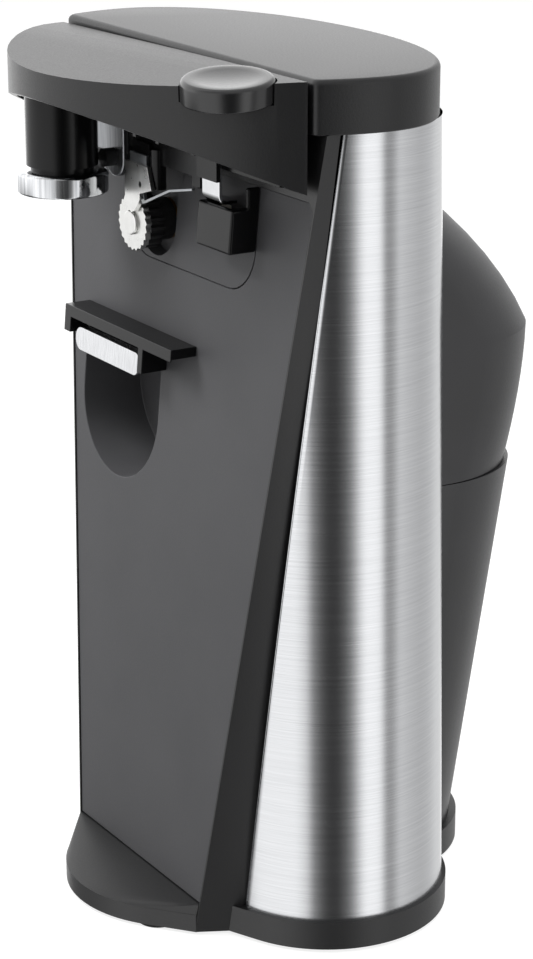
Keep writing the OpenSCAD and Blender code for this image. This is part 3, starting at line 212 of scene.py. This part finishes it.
def ramp(tree, factor, stops):
    """A colour ramp through (position, hex) stops."""
    node = add(tree, "ShaderNodeValToRGB", {"Fac": factor})
    element = node.color_ramp.elements
    while len(element) < len(stops):
        element.new(0.5)
    for e, (at, code) in zip(element, stops):
        e.position = at
        e.color = linear(code)
    return node.outputs["Color"]


def moulded_abs(name, low, high, rough=(0.42, 0.5), grain=0.12, specular=0.5):
    """Injection-moulded ABS from a spark-eroded mould: a fine even grain of about 0.35 mm, drawn at
    0.5 mm so that it shows, over a faint cloudiness of the surface."""
    mat, tree, shader, where = material(name)
    cloud = add(tree, "ShaderNodeTexNoise", {"Vector": where}, Scale=38.0, Detail=3.0)
    fine = add(tree, "ShaderNodeTexNoise", {"Vector": where}, Scale=2000.0, Detail=2.0)
    tree.links.new(ramp(tree, cloud.outputs["Fac"], [(0.3, low), (0.7, high)]),
                   shader.inputs["Base Color"])
    spread = add(tree, "ShaderNodeMapRange", {"Value": fine.outputs["Fac"]},
                 From_Min=0.25, From_Max=0.75, To_Min=rough[0], To_Max=rough[1])
    tree.links.new(spread.outputs["Result"], shader.inputs["Roughness"])
    bump = add(tree, "ShaderNodeBump", {"Height": fine.outputs["Fac"]},
               Strength=grain, Distance=0.0002)
    tree.links.new(bump.outputs["Normal"], shader.inputs["Normal"])
    shader.inputs["IOR"].default_value = 1.53
    shader.inputs["Specular IOR Level"].default_value = specular
    return mat


def brushed_stainless(name, code):
    """304 stainless sheet brushed along its bend: hairlines about 0.1 mm apart, drawn at 0.22 mm,
    that run level round the body, so highlights smear up and down."""
    mat, tree, shader, where = material(name)
    squeezed = add(tree, "ShaderNodeMapping", {"Vector": where}, Scale=(40.0, 40.0, 4500.0))
    hair = add(tree, "ShaderNodeTexNoise", {"Vector": squeezed.outputs["Vector"]},
               Scale=1.0, Detail=4.0, Roughness=0.65)
    tree.links.new(ramp(tree, hair.outputs["Fac"], [(0.3, code[0]), (0.7, code[1])]),
                   shader.inputs["Base Color"])
    spread = add(tree, "ShaderNodeMapRange", {"Value": hair.outputs["Fac"]},
                 From_Min=0.3, From_Max=0.7, To_Min=0.19, To_Max=0.25)
    tree.links.new(spread.outputs["Result"], shader.inputs["Roughness"])
    bump = add(tree, "ShaderNodeBump", {"Height": hair.outputs["Fac"]},
               Strength=0.025, Distance=0.0001)
    tree.links.new(bump.outputs["Normal"], shader.inputs["Normal"])
    shader.inputs["Metallic"].default_value = 1.0
    shader.inputs["Anisotropic"].default_value = 0.85
    shader.inputs["Anisotropic Rotation"].default_value = 0.25
    turn = add(tree, "ShaderNodeTangent", direction_type="RADIAL", axis="Z")
    tree.links.new(turn.outputs["Tangent"], shader.inputs["Tangent"])
    return mat


def plated(name, low, high, rough, streak=(300.0, 300.0, 300.0), mark=0.05):
    """Nickel or zinc plate on steel: a bright metal whose polish varies a little from place to
    place, with faint marks of its pressing. Where low and high lie far apart, the swing of colour
    along the streaks is painted reflection."""
    mat, tree, shader, where = material(name)
    stretched = add(tree, "ShaderNodeMapping", {"Vector": where}, Scale=streak)
    mottle = add(tree, "ShaderNodeTexNoise", {"Vector": stretched.outputs["Vector"]},
                 Scale=1.0, Detail=3.0)
    tree.links.new(ramp(tree, mottle.outputs["Fac"], [(0.3, low), (0.7, high)]),
                   shader.inputs["Base Color"])
    spread = add(tree, "ShaderNodeMapRange", {"Value": mottle.outputs["Fac"]},
                 From_Min=0.3, From_Max=0.7, To_Min=rough[0], To_Max=rough[1])
    tree.links.new(spread.outputs["Result"], shader.inputs["Roughness"])
    bump = add(tree, "ShaderNodeBump", {"Height": mottle.outputs["Fac"]},
               Strength=mark, Distance=0.0001)
    tree.links.new(bump.outputs["Normal"], shader.inputs["Normal"])
    shader.inputs["Metallic"].default_value = 1.0
    return mat


def dull(name, low, high, rough, grain, strength=0.2, metallic=0.0):
    """A matt working surface, such as lacquered core plates, ferrite, rubber or stone, with a
    grain of the given size in millimetres."""
    mat, tree, shader, where = material(name)
    grit = add(tree, "ShaderNodeTexNoise", {"Vector": where}, Scale=1000.0 / grain, Detail=3.0)
    tree.links.new(ramp(tree, grit.outputs["Fac"], [(0.3, low), (0.7, high)]),
                   shader.inputs["Base Color"])
    bump = add(tree, "ShaderNodeBump", {"Height": grit.outputs["Fac"]},
               Strength=strength, Distance=0.0002)
    tree.links.new(bump.outputs["Normal"], shader.inputs["Normal"])
    shader.inputs["Roughness"].default_value = rough
    shader.inputs["Metallic"].default_value = metallic
    return mat


def wound_copper(name):
    """Enamelled copper wire wound in layers 0.5 mm apart, which show as fine level ribs."""
    mat, tree, shader, where = material(name)
    turns = add(tree, "ShaderNodeTexWave", {"Vector": where}, wave_type="BANDS",
                bands_direction="X", Scale=320.0, Distortion=0.6, Detail=1.0)
    tree.links.new(ramp(tree, turns.outputs["Fac"], [(0.0, "#6a3413"), (1.0, "#b9713a")]),
                   shader.inputs["Base Color"])
    bump = add(tree, "ShaderNodeBump", {"Height": turns.outputs["Fac"]},
               Strength=0.6, Distance=0.0003)
    tree.links.new(bump.outputs["Normal"], shader.inputs["Normal"])
    shader.inputs["Metallic"].default_value = 0.8
    shader.inputs["Roughness"].default_value = 0.35
    return mat


def finishes(colours):
    """Every finish of the object, by the name of the record's material slot or of the piece."""
    return {
        "housing_plastic": moulded_abs("Moulded ABS, black", "#131314", "#171718"),
        "panel_plastic": moulded_abs("Moulded ABS, front panel", colours.panel_low,
                                     colours.panel_high, (0.44, 0.52), specular=0.15),
        "cover_plastic": moulded_abs("Moulded ABS, rear", "#222223", "#28282a", (0.38, 0.46)),
        "black_plastic": moulded_abs("Moulded ABS, covers", "#1b1b1c", "#202021", (0.4, 0.48)),
        "pad_plastic": moulded_abs("Moulded ABS, thumb pad", "#171718", "#1b1b1c", (0.2, 0.26),
                                   0.03),
        "gloss_black": moulded_abs("Moulded ABS, glossy", "#0d0d0e", "#111112", (0.2, 0.26), 0.02,
                                   0.2),
        "lid_plastic": moulded_abs("Moulded ABS, lids", "#121213", "#161617", (0.36, 0.44), 0.15,
                                   0.38),
        "brushed_steel": brushed_stainless("Brushed 304 stainless", ("#bdbec0", "#cccdcf")),
        "chrome": plated("Bright chrome plate", "#d3d4d6", "#dcdddf", (0.07, 0.12)),
        "bright_steel": plated("Bright nickel plate", "#d9d9d7", "#e4e4e2", (0.26, 0.34)),
        "streaked_steel": plated("Nickel plate, brushed upright", "#c9cacc", "#dcdddf", (0.2, 0.28),
                                 (2200.0, 2200.0, 20.0), 0.03),
        # magnet cup chrome: its colour swings from #9fa1a4 to #e0e1e3 in upright bands about 1 mm wide,
        # which are painted reflection bands; the streaked roughness and bump stand for an upright polish
        "chrome_painted_reflection_bands": plated("Chrome plate, brushed upright, painted reflection bands", "#9fa1a4", "#e0e1e3",
                                  (0.08, 0.2), (900.0, 900.0, 30.0), 0.08),
        "hub_steel": plated("Hardened steel, brushed", "#77797c", "#aeb0b3", (0.34, 0.46),
                            (2400.0, 2400.0, 60.0), 0.1),
        "dark_steel": plated("Blackened steel", "#1a1a1b", "#242426", (0.4, 0.5)),
        "zinc_steel": plated("Zinc plate", "#9b9ea1", "#b2b5b8", (0.28, 0.4)),
        "core_steel": dull("Lacquered core plates", "#5c6063", "#72767a", 0.55, 0.6, 0.25, 0.6),
        "magnet": dull("Sintered ferrite", "#37373a", "#454548", 0.7, 0.7),
        "rubber": dull("Moulded rubber", "#0e0e0e", "#151515", 0.85, 0.8),
        "white_plastic": moulded_abs("Moulded acetal, natural", "#ddd8cb", "#e6e1d5",
                                     (0.35, 0.42), 0.05),
        "bronze": plated("Sintered bronze", "#8f6631", "#a87b40", (0.4, 0.5)),
        "copper": wound_copper("Enamelled copper winding"),
        "stone": dull("White alumina stone", "#dcd6c8", "#ece7da", 0.9, 0.4, 0.5),
    }


# Sheet steel sides

def side_rows(z):
    """Points of the right steel side at heights z: at each height the body is a circle whose
    centre and radius slide evenly from bottom to top, followed from the leaning front edge round
    to the flat back."""
    t = ((z - BASE_TOP) / (COVER_Z - 0.1 - BASE_TOP))[:, None]
    centre = LOBE + (LOBE_HIGH - LOBE) * t
    radius = LOBE_R + (LOBE_HIGH_R - LOBE_R) * t
    height = (z[:, None] - BASE_TOP) / (COVER_Z - BASE_TOP)
    edge = EDGE_FOOT + (EDGE_HEAD - EDGE_FOOT) * height
    # where the ray from the edge along EDGE_OUT meets the circle
    d = edge - centre
    b = d @ EDGE_OUT[:, None] / (EDGE_OUT @ EDGE_OUT)
    c = ((d * d).sum(1, keepdims=True) - radius ** 2) / (EDGE_OUT @ EDGE_OUT)
    hit = edge + EDGE_OUT * (-b + np.sqrt(np.maximum(b * b - c, 0)))
    start = np.arctan2(hit[:, 1:] - centre[:, 1:], hit[:, :1] - centre[:, :1])
    stop = np.arccos((LOBE[0] + FLAT_BACK - centre[:, :1]) / radius)
    return centre, radius, start, stop


def steel_side(name, mirror):
    """Right steel side, or its mirror image: an outer skin, a quarter circle of STEEL_BEND at the
    front edge, and an inner skin STEEL_T further in."""
    z = np.linspace(BASE_TOP, COVER_Z - 0.1, 60)
    centre, radius, start, stop = side_rows(z)
    angle = start + (stop - start) * np.linspace(0, 1, STEEL_STEPS + 1)[None, :]
    q = np.radians(np.linspace(90, 0, 6))[None, :]
    inset_bend = STEEL_BEND * (1 - np.cos(q))[:, ::-1]
    lead = STEEL_BEND * (1 - np.sin(q))[:, ::-1]
    a_front = start + lead / radius
    a_outer = np.hstack([a_front, angle[:, 1:]])
    d_outer = np.hstack([inset_bend * np.ones_like(radius), np.zeros((len(z), STEEL_STEPS))])
    a_inner = np.hstack([angle[:, :0:-1], a_front[:, -1:]])
    d_inner = np.full((len(z), a_inner.shape[1]), STEEL_T)
    a = np.hstack([a_outer, a_inner])
    r = radius - np.hstack([d_outer, d_inner])
    x = centre[:, :1] + r * np.cos(a)
    y = centre[:, 1:] + r * np.sin(a)
    rows = np.stack([-x if mirror else x, y, np.broadcast_to(z[:, None], x.shape)], -1)
    return skin(name, rows, sharp=60.0)


# Turned pieces

def turned(name, profile, centre, count=96, frame_of=None, sharp=35.0):
    """A profile of (radius, height) points in millimetres turned once round an upright axis through
    centre, and then placed by the matrix frame_of."""
    p = np.array(profile, float)
    a = np.linspace(0, 2 * math.pi, count, endpoint=False)
    rows = np.stack([p[:, :1] * np.cos(a), p[:, :1] * np.sin(a),
                     np.broadcast_to(p[:, 1:], (len(p), count))], -1)
    if frame_of is not None:
        rows = rows @ np.array(frame_of.to_3x3()).T
    rows = rows + np.array(centre)
    return skin(name, rows, caps=(0, -1), sharp=sharp)


def fillet(corners, radii, steps=5):
    """A polyline in (radius, height) whose inner corners are replaced by circular arcs: each arc
    touches both sides at the same distance from its corner."""
    p = np.array(corners, float)
    out = [p[:1]]
    for a, b, c, r in zip(p[:-2], p[1:-1], p[2:], radii):
        u, v = (a - b) / np.linalg.norm(a - b), (c - b) / np.linalg.norm(c - b)
        half = math.acos(np.clip(u @ v, -1, 1)) / 2
        cut = r / math.tan(half)
        mid = b + (u + v) / np.linalg.norm(u + v) * r / math.sin(half)
        s, e = b + u * cut - mid, b + v * cut - mid
        turn = math.atan2(s[0] * e[1] - s[1] * e[0], s @ e)
        t = np.linspace(0, turn, steps)[:, None]
        perp = np.array([-s[1], s[0]])
        out.append(mid + s * np.cos(t) + perp * np.sin(t))
    out.append(p[-1:])
    return np.vstack(out)


# Rear top cover

def oval(inset, count=240):
    """The oval of the lid, moved inward by inset: |x / a|^n + |y / b|^n = 1, with its own depth b
    and power n in front of and behind its widest line."""
    t = np.linspace(0, 2 * math.pi, count, endpoint=False)
    c, s = np.cos(t), np.sin(t)
    back = s > 0
    power = np.where(back, BACK_POWER, FRONT_POWER)
    depth = np.where(back, OVAL_BACK, OVAL_FRONT) - inset
    x = (OVAL_HALF_W - inset) * np.sign(c) * np.abs(c) ** (2 / power)
    y = OVAL_Y + depth * np.sign(s) * np.abs(s) ** (2 / power)
    return np.stack([x, y], -1)


def behind(outline, shift, ease, count=260):
    """The part of an outline that lies behind the seam moved back by shift, with its two corners
    rounded: ease is how far from a corner the rounding begins. Points are evenly spaced."""
    along = np.array([math.cos(SEAM_TURN), math.sin(SEAM_TURN)])
    across = np.array([-along[1], along[0]])
    start = SEAM_END + across * shift
    d = (outline - start) @ across
    first = int(np.argmax((d > 0) & (np.roll(d, 1) <= 0)))
    ring = np.roll(outline, -first, 0)
    d = np.roll(d, -first)
    keep = int(np.argmin(d > 0)) if (d <= 0).any() else len(d)

    def cross(i, j):
        return ring[i] + (ring[j] - ring[i]) * d[i] / (d[i] - d[j])

    arc = np.vstack([cross(-1, 0), ring[:keep], cross(keep - 1, keep)])
    length = np.r_[0, np.cumsum(np.linalg.norm(np.diff(arc, axis=0), axis=1))]

    def at(s):
        return np.stack([np.interp(s, length, arc[:, k]) for k in (0, 1)], -1)

    right, left = arc[0], arc[-1]
    t = np.linspace(0, 1, 9)[:, None]
    chord = (left - right) / np.linalg.norm(left - right)

    def rounded(a, corner, b):
        return (1 - t) ** 2 * a + 2 * t * (1 - t) * corner + t ** 2 * b

    body = at(np.linspace(ease, length[-1] - ease, count))
    seam = right + chord * np.linspace(ease, np.linalg.norm(left - right) - ease, 60)[:, None]
    return np.vstack([body[1:-1], rounded(body[-1], left, seam[-1]), seam[-2:0:-1],
                      rounded(seam[0], right, body[0])])


def lid_skin(name):
    """Rear top cover: the outline swept up its skirt, over an edge of 1.6 mm radius, across the
    top and down inside its walls to the opening over the mechanism."""
    low, top, floor = COVER_Z, BODY_TOP, COVER_Z + LID_FLOOR
    q = np.radians(np.linspace(0, 90, 7))
    r = LID_EDGE
    profile = [(0.25, low), (0.0, low + 0.25), (0.0, top - r)]
    profile += [(r * (1 - math.cos(a)), top - r * (1 - math.sin(a))) for a in q[1:]]
    inside = [(LID_WALL, top - LID_WALL), (LID_WALL, floor), (LID_OPENING, floor),
              (LID_OPENING, low)]

    def level(inset, z, ease):
        p = behind(oval(inset), inset + HALF_SEAM, ease)
        return np.column_stack([p, np.full(len(p), z)])

    rows = [level(i, z, 1.0) for i, z in inside] + [level(i, z, 1.6) for i, z in profile]
    return skin(name, np.stack(rows), caps=(-1, 0), sharp=40.0)


# Settings

class OpenerColours(bpy.types.PropertyGroup):
    panel_low: bpy.props.StringProperty(
        name="Panel, darker", description="Darker colour of the front panel's plastic",
        default="#505052")
    panel_high: bpy.props.StringProperty(
        name="Panel, lighter", description="Lighter colour of the front panel's plastic",
        default="#545456")


class OpenerSizes(bpy.types.PropertyGroup):
    easing: bpy.props.FloatProperty(
        name="Edge radius", description="Radius on the edges of the plastic mouldings",
        default=0.5 * MM, min=0.1 * MM, max=1.0 * MM, subtype="DISTANCE", unit="LENGTH")


FINISH = {}
OWN_FINISH = {"rear_top_cover": "lid_plastic", "lever_cover": "lid_plastic",
              "guide_block": "gloss_black", "opener_bracket": "gloss_black",
              "lever_frame": "gloss_black", "magnet_post": "gloss_black",
              "opener_plate": "streaked_steel", "pivot_hub": "hub_steel",
              "blade_screw": "dark_steel", "magnet_cup": "chrome_painted_reflection_bands", "cutting_blade": "bright_steel",
              "guide_tongue": "chrome"}


def finish_of(node):
    """The finish of a node: its own, or else that of its slot."""
    return FINISH[OWN_FINISH.get(node, SLOTS[node])]


def colours():
    return bpy.context.scene.opener_colours


def easing():
    return bpy.context.scene.opener_sizes.easing / MM


# Operators

class OPENER_OT_finishes(bpy.types.Operator):
    """Makes every finish and gives it to the CAD nodes."""
    bl_idname = "opener.finishes"
    bl_label = "Finishes"

    def execute(self, context):
        FINISH.update(finishes(colours()))
        for node, solid in CAD.items():
            solid.data.materials.clear()
            solid.data.materials.append(finish_of(node))
        return {"FINISHED"}


class OPENER_OT_camera(bpy.types.Operator):
    """Camera to the right of the front, a little above."""
    bl_idname = "opener.camera"
    bl_label = "Camera"

    def execute(self, context):
        azimuth, pitch, distance = math.radians(58.37), math.radians(18.07), 0.73077
        back = Vector((math.sin(azimuth) * math.cos(pitch), -math.cos(azimuth) * math.cos(pitch),
                       math.sin(pitch)))
        right = Vector((math.cos(azimuth), math.sin(azimuth), 0))
        turn = Matrix((right, back.cross(right), back)).transposed().to_4x4()
        lens = bpy.data.cameras.new("Camera")
        lens.sensor_width = 36.0
        lens.lens = 97.2
        lens.clip_start = 0.01
        camera = bpy.data.objects.new("Camera", lens)
        aim = Vector((0, -0.00615, 0.11558))
        camera.matrix_world = Matrix.Translation(aim + back * distance) @ turn
        context.scene.collection.objects.link(camera)
        context.scene.camera = camera
        return {"FINISHED"}


class OPENER_OT_steel_sides(bpy.types.Operator):
    """Brushed sheet on the left and right of the body."""
    bl_idname = "opener.steel_sides"
    bl_label = "Steel sides"

    def execute(self, context):
        for side in ("right", "left"):
            place(steel_side(f"brushed_side_{side}", side == "left"), f"steel_panel_{side}",
                  FINISH["brushed_steel"])
        return {"FINISHED"}


class OPENER_OT_mouldings(bpy.types.Operator):
    """Plastic mouldings with eased edges."""
    bl_idname = "opener.mouldings"
    bl_label = "Mouldings"

    def execute(self, context):
        for node, radius in (("front_housing", 0.6), ("front_panel", 0.6), ("mechanism_plate", 0.4),
                             ("guide_block", 1.0), ("opener_bracket", 0.5), ("rear_housing", 0.6),
                             ("rear_lower_cover", 0.6), ("base_plate", 0.8),
                             ("lever_cover", 1.3), ("lever_frame", 0.3), ("sharpener_insert", 0.5),
                             ("cord_grommet", 0.3), ("drive_collar", 0.15)):
            place(eased(node, "moulded_" + node, radius * easing() / 0.5), node,
                  finish_of(node))
        place(lid_skin("moulded_rear_top_cover"), "rear_top_cover", finish_of("rear_top_cover"))
        return {"FINISHED"}


class OPENER_OT_small_metal(bpy.types.Operator):
    """Blade, wheel, hub and other small metal pieces with broken edges."""
    bl_idname = "opener.small_metal"
    bl_label = "Small metal pieces"

    def execute(self, context):
        for node, radius in (("opener_plate", 0.5), ("cutting_blade", 0.12), ("rim_guide", 0.1),
                             ("guide_tongue", 0.2), ("pivot_hub", 0.5), ("drive_wheel", 0.12),
                             ("wheel_nut", 0.25), ("blade_screw", 0.1)):
            place(eased(node, "plated_" + node, radius, 2), node, finish_of(node))
        return {"FINISHED"}


class OPENER_OT_magnet(bpy.types.Operator):
    """Lid magnet: a drawn cup with a rolled rim on its turned post."""
    bl_idname = "opener.magnet"
    bl_label = "Magnet and post"

    def execute(self, context):
        low, high = (np.array(c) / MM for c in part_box("magnet_cup"))
        x, y = (low[:2] + high[:2]) / 2
        r, h = (high[0] - low[0]) / 2, high[2] - low[2]
        cup = fillet([(0.1, 1.95), (r - 2.0, 1.95), (r - 1.6, 0.0), (r, 0.0), (r, h), (0.1, h)],
                     [0.3, 0.5, 0.8, 1.1])
        place(turned("drawn_cup", cup, (x, y, low[2])), "magnet_cup",
              finish_of("magnet_cup"))
        return {"FINISHED"}


class OPENER_OT_thumb_pad(bpy.types.Operator):
    """Round thumb pad with a dished top and a soft rim."""
    bl_idname = "opener.thumb_pad"
    bl_label = "Thumb pad"

    def execute(self, context):
        turn = (Matrix.Rotation(math.radians(-42.5), 4, "Z")
                @ Matrix.Rotation(math.radians(7.3), 4, "Y"))
        r, h = 11.8, 5.8
        dish = [(k, -0.62 * (1 - (k / 9.0) ** 2)) for k in np.linspace(0.05, 9.0, 8)]
        outer = fillet([(9.0, 0.0), (r - 0.1, 0.0), (r, -h), (0.1, -h)], [1.3, 0.5], 7)
        profile = np.vstack([dish[:-1], outer])
        place(turned("dished_pad", profile, (52.5, -49.6, 240.2), frame_of=turn), "thumb_pad",
              FINISH["pad_plastic"])
        return {"FINISHED"}


class OPENER_OT_studio(bpy.types.Operator):
    """Pale floor, soft lamps and the light of the room."""
    bl_idname = "opener.studio"
    bl_label = "Studio"

    def execute(self, context):
        scene = context.scene
        scene.view_settings.view_transform = "Standard"
        floor = skin("studio_floor", np.array([[[-3000, -3000, -0.2], [3000, -3000, -0.2]],
                                               [[-3000, 3000, -0.2], [3000, 3000, -0.2]]], float),
                     around=False)
        mat = bpy.data.materials.new("White sweep")
        mat.use_nodes = True
        tree = mat.node_tree
        tree.nodes.clear()
        path = add(tree, "ShaderNodeLightPath")
        shade = add(tree, "ShaderNodeBsdfDiffuse", Color=linear("#9c9c9c"))
        glow = add(tree, "ShaderNodeEmission", Strength=0.8)
        seen = add(tree, "ShaderNodeMath", {0: path.outputs["Is Camera Ray"],
                                            1: path.outputs["Is Glossy Ray"]}, operation="MAXIMUM")
        lit = add(tree, "ShaderNodeMixShader", {0: seen.outputs["Value"]})
        both = add(tree, "ShaderNodeAddShader", {0: shade.outputs["BSDF"],
                                                 1: glow.outputs["Emission"]})
        tree.links.new(shade.outputs["BSDF"], lit.inputs[1])
        tree.links.new(both.outputs["Shader"], lit.inputs[2])
        add(tree, "ShaderNodeOutputMaterial", {"Surface": lit.outputs["Shader"]})
        floor.data.materials.append(mat)
        floor.visible_glossy = False
        self.room(scene)
        self.lamp("Overhead softbox", (0.0, 0.15, 1.15), (0, 0, 0.2), (1.0, 1.0), 9.0)
        self.lamp("Front softbox", (-0.15, -0.28, 0.5), (0, -0.05, 0.22), (0.2, 0.2), 1.8)
        self.lamp("Right softbox", (1.1, 0.25, 0.6), (0, 0, 0.12), (0.35, 1.1), 5.0)
        return {"FINISHED"}

    def lamp(self, name, at, towards, size, power):
        """A rectangular softbox that faces a point."""
        light = bpy.data.lights.new(name, "AREA")
        light.shape = "RECTANGLE"
        light.size, light.size_y = size
        light.energy = power
        lamp = bpy.data.objects.new(name, light)
        lamp.location = at
        lamp.visible_glossy = False
        lamp.rotation_euler = (Vector(towards) - Vector(at)).to_track_quat("-Z", "Y").to_euler()
        bpy.context.scene.collection.objects.link(lamp)

    def room(self, scene):
        """Light of the room. Diffuse light is even. What mirror rays see is not the white
        background but a strip of tones by compass direction, given as listed stops: bright screens
        with darker gaps between them. The floor and the lamps are hidden from those rays."""
        world = bpy.data.worlds.new("Studio")
        scene.world = world
        world.use_nodes = True
        tree = world.node_tree
        tree.nodes.clear()
        way = add(tree, "ShaderNodeTexCoord").outputs["Generated"]
        part = add(tree, "ShaderNodeSeparateXYZ", {"Vector": way})
        turn = add(tree, "ShaderNodeMath", {0: part.outputs["Y"], 1: part.outputs["X"]},
                   operation="ARCTAN2")
        compass = add(tree, "ShaderNodeMapRange", {"Value": turn.outputs["Value"]},
                      From_Min=-math.pi, From_Max=math.pi)
        stops = [(-180, 1.1), (-140, 1.1), (-100, 1.5), (-60, 1.5), (-50, 1.1), (-43, 0.35),
                 (-34, 0.12), (-27, 0.06), (-19, 0.06), (-12, 0.14), (-6, 0.3), (-1, 0.65),
                 (4, 1.2), (9, 1.6), (23, 1.6), (27, 1.1), (30, 0.5), (35, 0.42), (40, 0.6),
                 (46, 1.0), (56, 0.86), (75, 0.72), (90, 0.78), (106, 0.97), (128, 0.9),
                 (142, 2.0), (172, 2.0)]
        strip = add(tree, "ShaderNodeValToRGB", {"Fac": compass.outputs["Result"]})
        element = strip.color_ramp.elements
        while len(element) < len(stops):
            element.new(0.5)
        for e, (at, value) in zip(element, stops):
            e.position = (at + 180) / 360.0
            e.color = (value, value, value, 1)
        height = add(tree, "ShaderNodeMapRange", {"Value": part.outputs["Z"]}, From_Min=0.35,
                     From_Max=0.75)
        mirrored = add(tree, "ShaderNodeMix", {"Factor": height.outputs["Result"],
                                               6: strip.outputs["Color"]}, data_type="RGBA")
        mirrored.inputs[7].default_value = (0.8, 0.8, 0.8, 1)
        # in front of the object the room is brighter above than below
        front = add(tree, "ShaderNodeMapRange", {"Value": turn.outputs["Value"]},
                    From_Min=math.radians(-105), From_Max=math.radians(-125))
        fall = add(tree, "ShaderNodeMapRange", {"Value": part.outputs["Z"]}, From_Min=-0.5,
                   From_Max=0.0, To_Min=0.1, To_Max=1.7)
        level = add(tree, "ShaderNodeMix", {"Factor": front.outputs["Result"],
                                            3: fall.outputs["Result"]}, data_type="FLOAT")
        level.inputs[2].default_value = 1.0
        path = add(tree, "ShaderNodeLightPath")
        seen = add(tree, "ShaderNodeBackground", Color=(1, 1, 1, 1), Strength=1.0)
        gloss = add(tree, "ShaderNodeBackground", {"Color": mirrored.outputs[2],
                                                   "Strength": level.outputs[0]})
        soft = add(tree, "ShaderNodeBackground", Color=(1, 1, 1, 1), Strength=0.55)
        shiny = add(tree, "ShaderNodeMixShader", {0: path.outputs["Is Glossy Ray"],
                                                  1: soft.outputs["Background"],
                                                  2: gloss.outputs["Background"]})
        final = add(tree, "ShaderNodeMixShader", {0: path.outputs["Is Camera Ray"],
                                                  1: shiny.outputs["Shader"],
                                                  2: seen.outputs["Background"]})
        add(tree, "ShaderNodeOutputWorld", {"Surface": final.outputs["Shader"]})


class OPENER_PT_panel(bpy.types.Panel):
    """Settings and steps of the can opener."""
    bl_label = "Can opener"
    bl_idname = "OPENER_PT_panel"
    bl_space_type = "VIEW_3D"
    bl_region_type = "UI"
    bl_category = "Can opener"

    def draw(self, context):
        for group in (context.scene.opener_sizes, context.scene.opener_colours):
            for key in group.__annotations__:
                self.layout.prop(group, key)
        for step in STEPS:
            self.layout.operator(step.bl_idname)


STEPS = (OPENER_OT_finishes, OPENER_OT_camera, OPENER_OT_steel_sides, OPENER_OT_mouldings,
         OPENER_OT_small_metal, OPENER_OT_magnet, OPENER_OT_thumb_pad, OPENER_OT_studio)
CLASSES = (OpenerColours, OpenerSizes, *STEPS, OPENER_PT_panel)


def register():
    for cls in CLASSES:
        bpy.utils.register_class(cls)
    bpy.types.Scene.opener_colours = bpy.props.PointerProperty(type=OpenerColours)
    bpy.types.Scene.opener_sizes = bpy.props.PointerProperty(type=OpenerSizes)


def unregister():
    del bpy.types.Scene.opener_sizes, bpy.types.Scene.opener_colours
    for cls in reversed(CLASSES):
        bpy.utils.unregister_class(cls)


def main():
    register()
    for step in STEPS:
        group, name = step.bl_idname.split(".")
        getattr(getattr(bpy.ops, group), name)()


if __name__ == "__main__":
    main()
